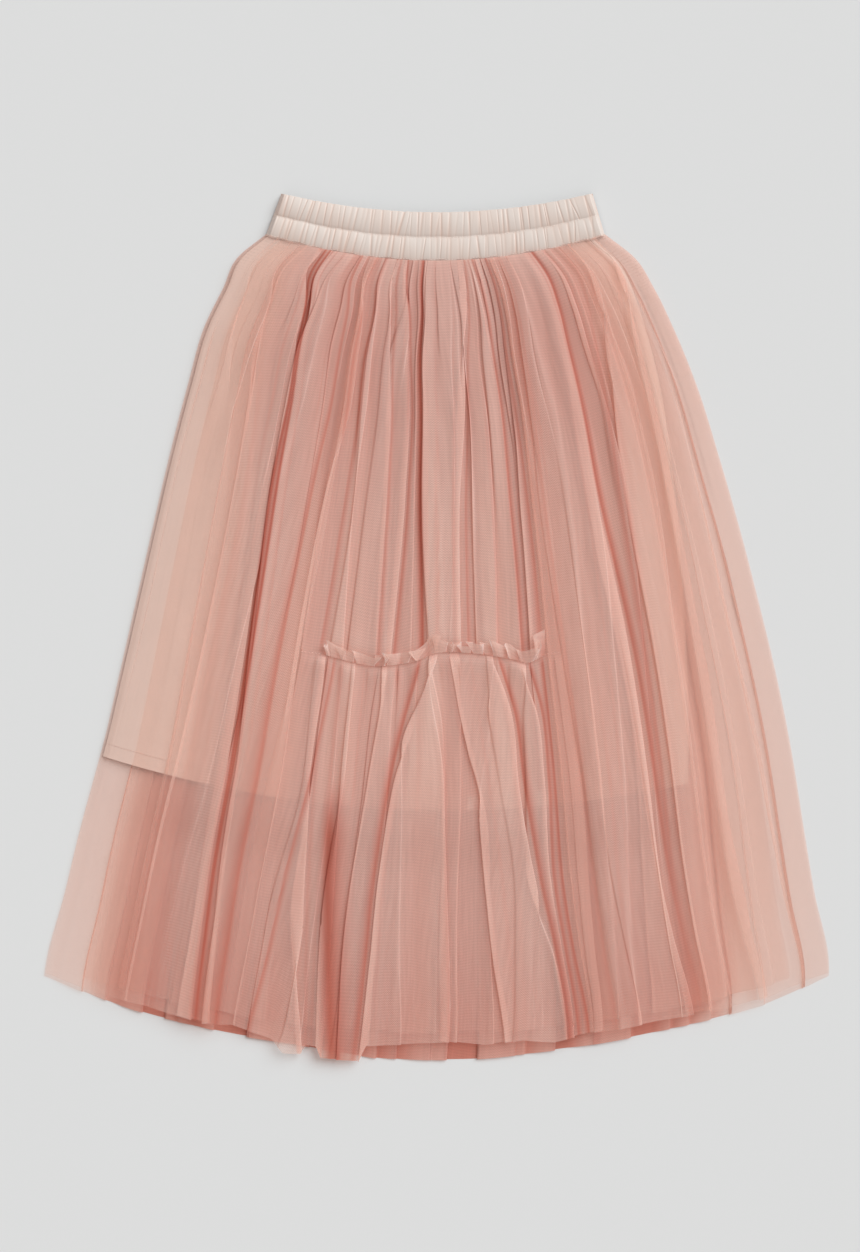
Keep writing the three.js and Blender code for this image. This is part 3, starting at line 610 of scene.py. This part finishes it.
def stitch_tree():
    """Stitches on a path: short ends of thread at an even pitch, each turned a little askew."""
    tree = bpy.data.node_groups.new("stitches_on_a_path", "GeometryNodeTree")
    tree.interface.new_socket("Path", in_out="INPUT", socket_type="NodeSocketGeometry")
    for key in ("Pitch", "Length", "Thickness", "Askew"):
        tree.interface.new_socket(key, in_out="INPUT", socket_type="NodeSocketFloat")
    tree.interface.new_socket("Seed", in_out="INPUT", socket_type="NodeSocketInt")
    tree.interface.new_socket("Thread", in_out="INPUT", socket_type="NodeSocketMaterial")
    tree.interface.new_socket("Stitches", in_out="OUTPUT", socket_type="NodeSocketGeometry")
    given = add_node(tree, "NodeGroupInput").outputs
    path = add_node(tree, "GeometryNodeMeshToCurve")
    tree.links.new(given["Path"], path.inputs["Mesh"])
    spaced = add_node(tree, "GeometryNodeResampleCurve", mode="LENGTH")
    tree.links.new(path.outputs[0], spaced.inputs["Curve"])
    tree.links.new(given["Pitch"], spaced.inputs["Length"])
    thread_end = add_node(tree, "GeometryNodeMeshUVSphere")
    thread_end.inputs["Segments"].default_value = 6
    thread_end.inputs["Rings"].default_value = 4
    thread_end.inputs["Radius"].default_value = 0.5
    size = add_node(tree, "ShaderNodeCombineXYZ")
    for key, source in (("X", "Length"), ("Y", "Thickness"), ("Z", "Thickness")):
        tree.links.new(given[source], size.inputs[key])
    along = add_node(tree, "FunctionNodeAlignRotationToVector", axis="X")
    tree.links.new(add_node(tree, "GeometryNodeInputTangent").outputs[0], along.inputs["Vector"])
    turn = add_node(tree, "FunctionNodeRandomValue", data_type="FLOAT")
    tree.links.new(maths(tree, "MULTIPLY", given["Askew"], -1.0), turn.inputs[2])
    tree.links.new(given["Askew"], turn.inputs[3])
    tree.links.new(given["Seed"], turn.inputs["Seed"])
    turned = add_node(tree, "ShaderNodeCombineXYZ")
    tree.links.new(turn.outputs[1], turned.inputs["Z"])
    askew = add_node(tree, "FunctionNodeRotateRotation")
    tree.links.new(along.outputs[0], askew.inputs["Rotation"])
    tree.links.new(turned.outputs[0], askew.inputs["Rotate By"])
    sewn = add_node(tree, "GeometryNodeInstanceOnPoints")
    tree.links.new(spaced.outputs[0], sewn.inputs["Points"])
    tree.links.new(thread_end.outputs["Mesh"], sewn.inputs["Instance"])
    tree.links.new(askew.outputs[0], sewn.inputs["Rotation"])
    tree.links.new(size.outputs[0], sewn.inputs["Scale"])
    real = add_node(tree, "GeometryNodeRealizeInstances")
    tree.links.new(sewn.outputs[0], real.inputs[0])
    coloured = add_node(tree, "GeometryNodeSetMaterial")
    tree.links.new(real.outputs[0], coloured.inputs["Geometry"])
    tree.links.new(given["Thread"], coloured.inputs["Material"])
    tree.links.new(coloured.outputs[0], add_node(tree, "NodeGroupOutput").inputs[0])
    return tree


def thread_material(name, colour):
    material, tree = new_material(name)
    shader = add_node(tree, "ShaderNodeBsdfPrincipled")
    shader.inputs["Base Color"].default_value = (*colour, 1)
    shader.inputs["Roughness"].default_value = 0.6
    shader.inputs["Sheen Weight"].default_value = 0.3
    tree.links.new(shader.outputs[0], add_node(tree, "ShaderNodeOutputMaterial").inputs[0])
    return material


def row_of(piece, rows, row, lift):
    """One row of a cloth's points, lifted off it by part of a thread."""
    points = np.empty(len(piece.data.vertices) * 3, np.float32)
    piece.data.vertices.foreach_get("co", points)
    return points.reshape(rows, -1, 3)[row] + np.array((0, 0, lift))


def sew_stitches(name, path, slot, **sizes):
    """A line of stitches along a path, as one plain mesh."""
    mesh = bpy.data.meshes.new(name)
    mesh.from_pydata([tuple(point) for point in path], [(i, i + 1) for i in range(len(path) - 1)], [])
    piece = bpy.data.objects.new(name, mesh)
    scene.collection.objects.link(piece)
    modifier = piece.modifiers.new("stitches", "NODES")
    modifier.node_group = stitches_on_a_path
    for socket in stitches_on_a_path.interface.items_tree:
        if socket.name in sizes:
            modifier[socket.identifier] = sizes[socket.name]
    evaluated = piece.evaluated_get(bpy.context.evaluated_depsgraph_get())
    piece.data = bpy.data.meshes.new_from_object(evaluated)
    piece.modifiers.remove(modifier)
    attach(piece, "root")
    return piece


stitches_on_a_path = stitch_tree()
lining_thread = thread_material("lining_thread", (0.62, 0.46, 0.40))
stitch_down = 1 - (LINING_TURN - HEM_TURN_EDGE) / LINING_HEM
hem_row = round(stitch_down ** (1 / ROWS_CLOSER) * (LINING_ROWS - 1))
sew_stitches(
    "lining_hem_stitches", row_of(lining_front, LINING_ROWS, hem_row, 0.0003), "lining",
    Pitch=0.0032, Length=0.0024, Thickness=0.0006, Askew=0.1, Seed=23, Thread=lining_thread,
)

# Under layer of the front: a second gathered panel of the same net between the lining and the
# parted fronts, a little narrower than they are.
UNDER_LEFT = [5.0, 4.8, 4.6, 4.5, 4.5, 4.5]
UNDER_RIGHT = [95.0] * 6
UNDER_CUT = (0.82, 0.77)
# Its shade paints a little painted shade over it, under the fronts and the centre.
under_front = lay_panel(
    "under_front_tulle", "under_front", UNDER_LEFT, UNDER_RIGHT, top=0, hem=0.975, columns=300, rows=100,
    folds=small_folds(31, 22, UNDER_LEFT, UNDER_RIGHT, size=2.8, lean=1.5, rise=4.5, shade_amount=0.45),
    cut=UNDER_CUT, material=skirt_tulle, shade=0.15, sheer=(0.10, 0.19, 0.08, 0.17),
)
sew_in(under_front, "under_front")

# Centre of the front: an upper tulle panel, and a gathered flounce sewn under it that flares to
# the hem. Both run in under the fronts on either side.
CENTRE_LEFT = [31.5, 30.3, 28.5, 26.5, 25.4, 24.0]
CENTRE_RIGHT = [68.0, 68.2, 68.6, 69.0, 70.1, 71.5]
# After its crest each fold gives lean, rise, long, short, shade amount and valley. One with no
# rise only paints shade into the gap at an edge.
CENTRE_UPPER_FOLDS = [
    main_fold([34.8, 33.8, 31.7, 28.8, 26, 25], 0.02, 0.0, 1.0, 1.0, 0.7, 2.2),
    main_fold([65.4, 65.2, 65.6, 65.9, 67, 70], -0.02, 0.0, 1.0, 1.0, 0.8, 2.4),
    main_fold([36.6, 36.4, 34.6, 33.4, 33, 33], 1.6, 3.0, 2.0, 0.8, 0.35, 1.4),
    main_fold([39.4, 39.7, 39.4, 38.2, 38, 38], 2.2, 4.5, 2.4, 1.0, 0.7, 1.8),
    main_fold([41.5, 43.4, 42.9, 40.7, 40, 40], 2.4, 4.8, 2.2, 1.1, 0.8, 2.0),
    main_fold([47.2, 46.8, 46.4, 46.8, 47, 47], -2.0, 4.6, 2.4, 1.0, 1.0, 2.6),
    main_fold([50.2, 49.8, 49.2, 49.0, 49, 49], -1.2, 3.6, 2.4, 1.0, 0.4, 1.6),
    main_fold([53.8, 52.6, 51.2, 50.6, 50, 50], 1.6, 3.2, 2.0, 0.8, 0.4, 1.4, end=0.7),
    main_fold([57.8, 55.7, 53.4, 52.9, 53, 53], 2.6, 4.8, 3.4, 1.1, 0.7, 1.8),
    main_fold([59.2, 58.6, 58.3, 57.7, 57, 57], 0.7, 2.4, 1.4, 0.8, 0.4, 1.2, start=0.1),
    main_fold([60.0, 61.0, 61.2, 61.5, 61, 61], 1.0, 3.4, 2.6, 1.2, 0.8, 2.4),
    main_fold([64.2, 64.0, 63.6, 63.4, 63, 63], -1.8, 3.6, 1.6, 0.8, 0.5, 1.4),
]
RUFFLE_DOWN = [0.49, 0.56, 0.66, 0.78, 0.89, 1.0]


def ruffle_fold(at, *sizes, **more):
    return main_fold(at, *sizes, stations=RUFFLE_DOWN, **more)


# The same columns; the folds with no rise only paint shade into the gaps at the edges.
RUFFLE_FOLDS = [
    ruffle_fold([31.6, 30.8, 29.6, 28.0, 26.9, 25.4], 0.02, 0.0, 1.0, 1.0, 0.8, 1.5),
    ruffle_fold([65.6, 65.8, 66.2, 67.0, 68.4, 69.9], -0.02, 0.0, 1.0, 1.0, 0.9, 1.7),
    ruffle_fold([30.6, 30.4, 30.1, 30.9, 31.8, 32.8], 2.2, 4.2, 2.6, 1.0, 0.5, 1.8),
    ruffle_fold([33.8, 33.6, 33.4, 33.6, 34.0, 34.6], -1.4, 3.0, 2.0, 0.8, 0.5, 1.8),
    ruffle_fold([36.4, 36.2, 36.0, 35.6, 35.4, 35.2], 1.4, 3.2, 1.8, 0.7, 0.4, 1.4),
    ruffle_fold([39.0, 38.9, 38.3, 37.5, 37.1, 37.2], -1.4, 3.6, 1.8, 0.7, 0.4, 1.5),
    ruffle_fold([41.0, 41.4, 41.4, 41.0, 41.0, 41.0], 1.8, 4.4, 2.4, 1.0, 1.0, 3.4, end=0.68),
    ruffle_fold([30.8, 30.8, 31.0, 32.0, 33.2, 34.6], 0.02, 0.0, 1.0, 1.0, 1.0, 7.6, start=0.62, end=1.9),
    ruffle_fold([46.4, 44.3, 42.2, 41.2, 40.8, 40.0], -2.2, 5.4, 3.8, 1.2, 0.9, 2.4),
    ruffle_fold([48.6, 48.7, 49.2, 50.0, 50.6, 51.0], 1.8, 4.4, 2.4, 0.9, 0.35, 1.8),
    ruffle_fold([50.4, 51.6, 54.0, 55.8, 57.2, 58.8], -1.8, 4.2, 2.6, 0.9, 0.35, 1.8),
    ruffle_fold([54.0, 55.0, 56.6, 58.7, 59.9, 60.6], -1.2, 3.6, 2.0, 0.7, 0.3, 1.4),
    ruffle_fold([57.5, 59.6, 60.7, 62.9, 65.1, 66.3], 2.4, 5.4, 3.4, 1.2, 0.9, 2.2),
    ruffle_fold([62.5, 63.9, 64.4, 64.9, 66.4, 67.6], 1.8, 4.4, 2.0, 0.9, 0.9, 1.8),
]
RUFFLE_HEM_DROPS = (
    (23, 29, 30.3, 32.6, 33.4, 34.6, 35.2, 40, 41, 46, 51, 56, 61, 65, 68, 72),
    (-6, 3, 14, 13, 4, 4, 15, 15, -1, -3, -7, -2, -6, -1, -4, -6),
)
SEAM_DIP_AT = (30, 34, 38, 42, 45, 48, 51, 55, 60, 63, 66)
SEAM_DIP = (0.011, 0.015, 0.018, 0.015, 0.011, 0.003, 0.002, 0.004, 0.010, 0.015, 0.008)


def seam_dip(across):
    """How far the flounce's weight pulls its seam down, in metres."""
    return curve(across * 100, SEAM_DIP_AT, SEAM_DIP)


ruffle_tulle = tulle_material("ruffle_tulle", cover=0.26)
CENTRE_UPPER_CUT = (0.40, 0.385)
RUFFLE_CUT = (0.56, 0.39)
RUFFLE_ROWS = 120
centre_upper = lay_panel(
    "centre_upper_tulle", "centre", CENTRE_LEFT, CENTRE_RIGHT,
    top=0, hem=RUFFLE_SEAM, columns=300, rows=90,
    folds=CENTRE_UPPER_FOLDS
    + small_folds(41, 9, CENTRE_LEFT, CENTRE_RIGHT, size=1.4, lean=0.8, rise=2.0, shade_amount=0.3)
    + small_folds(
        42, 20, CENTRE_LEFT, CENTRE_RIGHT, size=1.0, lean=0.8, rise=3.0, shade_amount=0.8, end=(0.12, 0.4),
    ),
    cut=CENTRE_UPPER_CUT, material=ruffle_tulle, seam_pull=seam_dip,
)
sew_in(centre_upper, "centre_upper")
centre_ruffle = lay_panel(
    "centre_ruffle_tulle", "centre", CENTRE_LEFT, CENTRE_RIGHT,
    top=RUFFLE_SEAM, hem=0.995, columns=400, rows=RUFFLE_ROWS,
    folds=RUFFLE_FOLDS
    + small_folds(43, 12, CENTRE_LEFT, CENTRE_RIGHT, size=1.3, lean=0.8, rise=1.8, shade_amount=0.35)
    + small_folds(
        44, 26, CENTRE_LEFT, CENTRE_RIGHT, size=1.1, lean=0.7, rise=3.4, shade_amount=0.8, end=(0.56, 0.72),
    ),
    cut=RUFFLE_CUT, material=ruffle_tulle, hem_drops=RUFFLE_HEM_DROPS, seam_pull=seam_dip,
)
sew_in(centre_ruffle, "centre_ruffle")
tulle_thread = thread_material("tulle_thread", (0.86, 0.62, 0.54))
sew_stitches(
    "flounce_stitches", row_of(centre_ruffle, RUFFLE_ROWS, 1, 0.0006), "ruffle_tulle",
    Pitch=0.0034, Length=0.0022, Thickness=0.0005, Askew=0.5, Seed=45, Thread=tulle_thread,
)

# Heading of the flounce: its raw edge, which stands up in a short frill above the gathering
# stitches, with a tall tuft at its right end and a lower one in the middle.
HEADING_LEFT = 0.302
HEADING_RIGHT = 0.656
HEADING_HEIGHT = 0.011
HEADING_TUFT_HEIGHT = 0.025
HEADING_TUFT_AT = 0.488
HEADING_LOBES = 34
HEADING_SPREAD = 0.9
HEADING_LIFT = 0.0015
HEADING_TUFT_LIFT = 0.0035
HEADING_NET = 2.0


def ruffle_heading_piece():
    columns, rows = 700, 14
    share = np.repeat(np.linspace(0, 1, columns)[None, :], rows, axis=0)
    up = np.repeat(np.linspace(0, 1, rows)[::-1, None], columns, axis=1)
    across = HEADING_LEFT + (HEADING_RIGHT - HEADING_LEFT) * share
    dice = np.random.default_rng(51)
    shift = np.zeros(share.shape)
    height = np.zeros(share.shape)
    lift = np.zeros(share.shape)
    for i in range(HEADING_LOBES):
        centre = (i + dice.uniform(0.1, 0.9)) / HEADING_LOBES
        width = dice.uniform(0.012, 0.028)
        bump = np.clip(1 - ((share - centre) / width) ** 2, 0, 1) ** 2
        shift += width * dice.uniform(1.0, 2.4) * dice.choice((-1, 1)) * bump * (0.3 + 0.7 * up)
        height += dice.uniform(0.002, 0.006) * bump * (0.25 + 0.75 * up)
        lift += dice.uniform(-0.005, 0.005) * bump
    tufts = smooth(share, 0.93, 0.985) + 0.7 * np.exp(-(((share - HEADING_TUFT_AT) / 0.022) ** 2))
    tall = HEADING_HEIGHT + (HEADING_TUFT_HEIGHT - HEADING_HEIGHT) * tufts + lift
    placed = across + shift * (HEADING_RIGHT - HEADING_LEFT)
    x, seam_y = place(placed, np.full(share.shape, RUFFLE_SEAM))
    y = seam_y - seam_dip(placed) + tall * up - 0.002
    down = RUFFLE_SEAM - tall * up / (waist_y(placed) - hem_y(placed))
    seat = bed("centre", placed, down) + LAYERS["centre"]["thick"]
    z = seat + height + HEADING_LIFT * up + HEADING_TUFT_LIFT * tufts * up + 0.0004
    points = np.stack([x, y, z], axis=-1)
    cloth = np.stack([share * HEADING_SPREAD, up * HEADING_HEIGHT], axis=-1)
    # Painted shade at the frill's foot between its lobes. Its crest is given as 1 all over, so it takes
    # the painted highlight wherever it stands on edge.
    hollow = np.clip(0.5 - height * 400, 0, 0.5) * (1 - up)
    dress = dress_tulle(points, np.ones(share.shape), hollow, HEADING_NET)
    return cloth_grid("ruffle_heading_tulle", points, cloth, ruffle_tulle, dress)


ruffle_heading = ruffle_heading_piece()
sew_in(ruffle_heading, "ruffle_heading")

# Fronts: the outer tulle, gathered into the band and parted from the waist down over the centre.
# Each ends there in a fold of single net that lies on the centre, and turns down at its side to
# meet the back.
FRONT_LEFT_EDGE = [33.6, 32.6, 30.4, 27.6, 25.1, 24.2]
FRONT_RIGHT_EDGE = [66.6, 66.4, 66.8, 67.2, 68.4, 71.4]
FRONT_LEFT_FOLDS = [
    main_fold([3.2, 5.8, 9.6, 8.5, 8.0, 7.5], 1.0, 3.5, 3.0, 1.8, 0.25, 2.6, end=1.0),
    main_fold([8.0, 11.7, 13.5, 12.4, 11.3, 11.9], 1.4, 4.0, 4.0, 1.8, 0.4, 3.0),
    main_fold([17.2, 19.3, 18.3, 18.0, 17.8, 18.6], 3.0, 7.0, 4.6, 1.4, 1.0, 2.2),
    main_fold([19.8, 21.0, 20.4, 19.7, 19.2, 19.8], -2.4, 7.0, 3.4, 1.2, 1.0, 2.0),
    main_fold([24.2, 22.9, 21.9, 21.3, 20.8, 21.0], -1.4, 3.5, 1.8, 0.7, 0.4, 1.4, end=0.9),
    main_fold([29.3, 29.7, 26.8, 24.2, 22.9, 22.4], -2.6, 6.0, 3.6, 1.2, 0.8, 2.4),
    main_fold([34.6, 33.6, 31.5, 28.6, 26.1, 25.2], 2.2, 4.0, 3.4, 1.3, 0.6, 2.0),
]
FRONT_RIGHT_FOLDS = [
    main_fold([65.6, 65.4, 65.8, 66.1, 67.2, 70.1], -2.2, 4.0, 3.6, 1.3, 0.6, 2.0),
    main_fold([69.2, 68.8, 68.4, 69.2, 70.8, 73.4], -1.4, 4.0, 2.2, 1.1, 0.5, 1.8),
    main_fold([71.6, 71.8, 72.2, 72.6, 73.4, 75.0], 1.0, 3.0, 1.8, 0.9, 0.3, 1.6),
    main_fold([75.0, 74.9, 74.9, 74.8, 75.0, 76.6], 0.8, 3.0, 1.6, 0.7, 0.3, 1.4),
    main_fold([77.5, 77.0, 77.0, 78.7, 79.8, 83.0], 2.8, 6.0, 4.2, 1.3, 0.9, 2.8),
    main_fold([81.0, 81.2, 81.8, 81.0, 80.8, 83.4], 1.6, 4.0, 1.8, 0.8, 0.5, 1.6, end=0.9),
    main_fold([87.0, 84.3, 82.2, 81.9, 82.1, 83.9], -2.6, 7.0, 4.2, 1.3, 0.8, 2.6),
    main_fold([91.0, 89.4, 88.6, 87.6, 87.6, 89.3], 2.2, 4.8, 3.0, 1.1, 0.6, 1.8),
    main_fold([95.0, 91.5, 89.8, 89.0, 88.7, 91.3], -2.6, 7.0, 3.8, 1.2, 0.9, 2.2),
    main_fold([98.2, 96.8, 95.6, 95.0, 95.6, 97.2], 1.4, 3.4, 2.6, 0.8, 0.4, 1.6),
]
FRONT_LEFT_CUT = (0.31, 0.79)
FRONT_RIGHT_CUT = (0.36, 0.79)
FRONT_HEM_DROPS = ((0, 5, 12, 20, 26, 70, 84, 91, 95, 100), (0, 3, 1, 5, -2, 2, 1, 4, -1, 0))
front_left = lay_panel(
    "front_left_tulle", "front", WHOLE_LEFT, FRONT_LEFT_EDGE, top=0, hem=0.985, columns=400, rows=150,
    folds=FRONT_LEFT_FOLDS
    + small_folds(61, 5, WHOLE_LEFT, FRONT_LEFT_EDGE, size=1.5, lean=0.9, rise=2.2, shade_amount=0.3)
    + small_folds(65, 5, [2] * 6, [15] * 6, size=1.8, lean=0.2, rise=1.6, shade_amount=0.4)
    + small_folds(
        62, 15, WHOLE_LEFT, FRONT_LEFT_EDGE, size=1.1, lean=0.8, rise=3.0, shade_amount=0.8, end=(0.1, 0.4),
    ),
    cut=FRONT_LEFT_CUT, material=skirt_tulle, hem_drops=FRONT_HEM_DROPS,
    dense=1.1, sheer=(0.08, 0.19, 0.05, 0.14), parted=1,
)
sew_in(front_left, "front_left")
front_right = lay_panel(
    "front_right_tulle", "front", FRONT_RIGHT_EDGE, WHOLE_RIGHT, top=0, hem=0.985, columns=400, rows=150,
    folds=FRONT_RIGHT_FOLDS
    + small_folds(63, 5, FRONT_RIGHT_EDGE, WHOLE_RIGHT, size=1.5, lean=0.9, rise=2.2, shade_amount=0.3)
    + small_folds(66, 5, [86] * 6, [98] * 6, size=1.8, lean=0.15, rise=1.2, shade_amount=0.3)
    + small_folds(
        64, 15, FRONT_RIGHT_EDGE, WHOLE_RIGHT, size=1.1, lean=0.8, rise=3.0, shade_amount=0.8, end=(0.1, 0.4),
    ),
    cut=FRONT_RIGHT_CUT, material=skirt_tulle, hem_drops=FRONT_HEM_DROPS,
    dense=1.1, sheer=(0.08, 0.19, 0.11, 0.22), parted=0,
)
sew_in(front_right, "front_right")

# Waistband: a pale satin tube stitched into two channels, each puckered by the elastic inside it.
# Its front lies on its back, and both ends are folded edges.
# BAND_LIGHT is the satin's own colour; the darker peach is painted shade for its pucker valleys.
BAND_LIGHT = (0.70, 0.605, 0.55)
BAND_SHADE_PEACH = (0.68, 0.50, 0.42)
BAND_TOP_HALF = 0.1525
BAND_BOTTOM = (-0.1676, 0.1644)
BAND_TOP_SIDE_Y = 0.4235
BAND_TOP_SAG = 0.0185
BAND_GATHERS = 62
BAND_REST = 0.0033
BAND_EDGE_WAVE = 0.0008
BAND_ROWS = 54
BAND_THICK = 0.0016
BAND_CROWN = 0.0030
BAND_DIP = 0.0006
BAND_PUFF = 0.0007
BAND_SPREAD = (0.56, 0.047)
STITCH_LINE = 0.5
CHANNEL_ROUNDING = 0.55


def satin_material():
    material, tree = new_material("band_satin")
    shader = add_node(tree, "ShaderNodeBsdfPrincipled")
    tree.links.new(own_value(tree, "tint", "Color"), shader.inputs["Base Color"])
    shader.inputs["Roughness"].default_value = 0.45
    shader.inputs["Sheen Weight"].default_value = 0.2
    output = add_node(tree, "ShaderNodeOutputMaterial")
    tree.links.new(shader.outputs[0], output.inputs[0])
    return material


def band_point(across, up):
    bottom_x = BAND_BOTTOM[0] + (BAND_BOTTOM[1] - BAND_BOTTOM[0]) * across
    top_x = -BAND_TOP_HALF + 2 * BAND_TOP_HALF * across
    bottom_y = waist_y(across) - BAND_EDGE_WAVE * (1 + np.sin(across * 83) * np.sin(across * 37 + 1.0))
    top_y = BAND_TOP_SIDE_Y - BAND_TOP_SAG * bow(across)
    return bottom_x + (top_x - bottom_x) * up, bottom_y + (top_y - bottom_y) * up


def pucker_field(across, up, seed):
    """Rounded cloth between sharp little valleys, uneven in place, slant and depth."""
    dice = np.random.default_rng(seed)
    marks = (np.arange(BAND_GATHERS + 1) + dice.uniform(-0.45, 0.45, BAND_GATHERS + 1)) / BAND_GATHERS
    slants = dice.normal(0.003, 0.010, len(marks))
    depths = dice.uniform(0.15, 1.0, len(marks))
    widths = dice.uniform(0.10, 0.26, len(marks))
    hollow = np.zeros(across.shape)
    for mark, slant, depth_and_shade, width in zip(marks, slants, depths, widths):
        distance = (across - mark - slant * (up - 0.5)) * BAND_GATHERS
        hollow = np.maximum(hollow, depth_and_shade * np.exp(-((distance / width) ** 2)))
    return hollow


def channel_crown(up, bottom, top):
    """The rounded section of one channel, 0 at its stitched edges and 1 in its middle."""
    return np.abs(np.sin(np.pi * np.clip((up - bottom) / (top - bottom), 0, 1))) ** CHANNEL_ROUNDING


def waistband_front_piece():
    columns, rows = 780, BAND_ROWS
    across = np.repeat(np.linspace(0, 1, columns)[None, :], rows, axis=0)
    up = np.repeat(np.linspace(1, 0, rows)[:, None], columns, axis=1)
    lower = pucker_field(across, up, 71)
    upper = pucker_field(across, up, 72)
    in_upper = smooth(up, STITCH_LINE - 0.02, STITCH_LINE + 0.02)
    hollow = lower * (1 - in_upper) + upper * in_upper
    channel = channel_crown(up, 0, STITCH_LINE) * (1 - in_upper)
    channel += channel_crown(up, STITCH_LINE, 1) * in_upper
    ends = smooth(np.minimum(across, 1 - across), 0, 0.012)
    height = 0.0012 + BAND_CROWN * channel - BAND_DIP * hollow * (0.35 + 0.65 * channel)
    x, y = band_point(across, up)
    y += BAND_PUFF * (1 - hollow) * smooth(up, 0.85, 1.0)
    z = BAND_REST * ends + height * ends + BAND_THICK
    cloth = np.stack([across * BAND_SPREAD[0], up * BAND_SPREAD[1]], axis=-1)
    # Painted shade: darker peach in the pucker valleys, mixed with a slow change of tone along the band.
    shade_and_tone = np.clip(0.75 * hollow + 0.25 * np.sin(across * 19 + 2 * up) ** 2, 0, 1)[..., None]
    tint = np.array(BAND_LIGHT) * (1 - shade_and_tone) + np.array(BAND_SHADE_PEACH) * shade_and_tone
    points = np.stack([x, y, z], axis=-1)
    return cloth_grid("waistband_front_satin", points, cloth, band_satin, (1.0, 0.0, tint))


def waistband_back_piece():
    columns, rows = 300, 16
    across = np.repeat(np.linspace(0, 1, columns)[None, :], rows, axis=0)
    up = np.repeat(np.linspace(0, 1, rows)[:, None], columns, axis=1)
    x, y = band_point(across, up)
    z = np.full(x.shape, 0.0001) + 0.0030 * (1 - smooth(np.minimum(up, 1 - up), 0, 0.08))
    cloth = np.stack([across * BAND_SPREAD[0], up * BAND_SPREAD[1]], axis=-1)
    points = np.stack([x, y, z], axis=-1)
    # The back of the band takes the painted-shade peach all over.
    return cloth_grid("waistband_back_satin", points, cloth, band_satin, (1.0, 0.0, BAND_SHADE_PEACH))


band_satin = satin_material()
waistband_back = waistband_back_piece()
sew_in(waistband_back, "waistband_back")
waistband_front = waistband_front_piece()
sew_in(waistband_front, "waistband_front")
band_thread = thread_material("band_thread", (0.78, 0.66, 0.60))
BAND_LINES = (("band_middle_stitches", 27, 73), ("band_seam_stitches", 51, 74))
for line_name, line_row, line_seed in BAND_LINES:
    sew_stitches(
        line_name, row_of(waistband_front, BAND_ROWS, line_row, 0.0002), "satin_band",
        Pitch=0.0030, Length=0.0022, Thickness=0.0005, Askew=0.2, Seed=line_seed, Thread=band_thread,
    )

# Studio: a plain pale surface, a large soft light at the upper right, and a warm fill from all
# round. The camera looks straight down with the waist at the top of the picture.
FLOOR_SIZE = 12.0
FLOOR_Z = -0.0004
FLOOR_GREY = 0.71
WINDOW_COLOUR = (0.86, 0.965, 1.0)
FILL_COLOUR = (1, 0.88, 0.83, 1)
FILL_STRENGTH = 0.49
PICTURE_HEIGHT = 1.227
PICTURE_CENTRE = (-0.0069, 0.0005)
CAMERA_HEIGHT = 5.0
SENSOR = 24.0

bpy.ops.mesh.primitive_plane_add(size=FLOOR_SIZE, location=(0, 0, FLOOR_Z))
floor = bpy.context.object
floor.name = "floor"
floor_material, tree = new_material("floor_paint")
shader = add_node(tree, "ShaderNodeBsdfPrincipled")
shader.inputs["Base Color"].default_value = (FLOOR_GREY, FLOOR_GREY, FLOOR_GREY, 1)
shader.inputs["Roughness"].default_value = 0.9
output = add_node(tree, "ShaderNodeOutputMaterial")
tree.links.new(shader.outputs[0], output.inputs[0])
floor.data.materials.append(floor_material)


def soft_sun(name, to_light, spread, strength):
    """A light far off in the direction to_light, spread over an angle in degrees."""
    data = bpy.data.lights.new(name, "SUN")
    data.angle = math.radians(spread)
    data.energy = strength
    data.color = WINDOW_COLOUR
    light = bpy.data.objects.new(name, data)
    scene.collection.objects.link(light)
    light.rotation_euler = Vector(to_light).to_track_quat("Z", "Y").to_euler()


soft_sun("window", (0.57, 0.47, 0.675), 50, 2.80)
world = bpy.data.worlds.new("studio")
scene.world = world
world.use_nodes = True
world.node_tree.nodes["Background"].inputs[0].default_value = FILL_COLOUR
world.node_tree.nodes["Background"].inputs[1].default_value = FILL_STRENGTH

camera_data = bpy.data.cameras.new("camera")
camera_data.sensor_fit = "VERTICAL"
camera_data.sensor_height = SENSOR
camera_data.lens = SENSOR * CAMERA_HEIGHT / PICTURE_HEIGHT
camera = bpy.data.objects.new("camera", camera_data)
scene.collection.objects.link(camera)
camera.location = (*PICTURE_CENTRE, CAMERA_HEIGHT)
scene.camera = camera
scene.view_settings.view_transform = "Standard"
scene.cycles.transparent_max_bounces = 24
scene.cycles.max_bounces = 6
scene.cycles.adaptive_threshold = 0.1
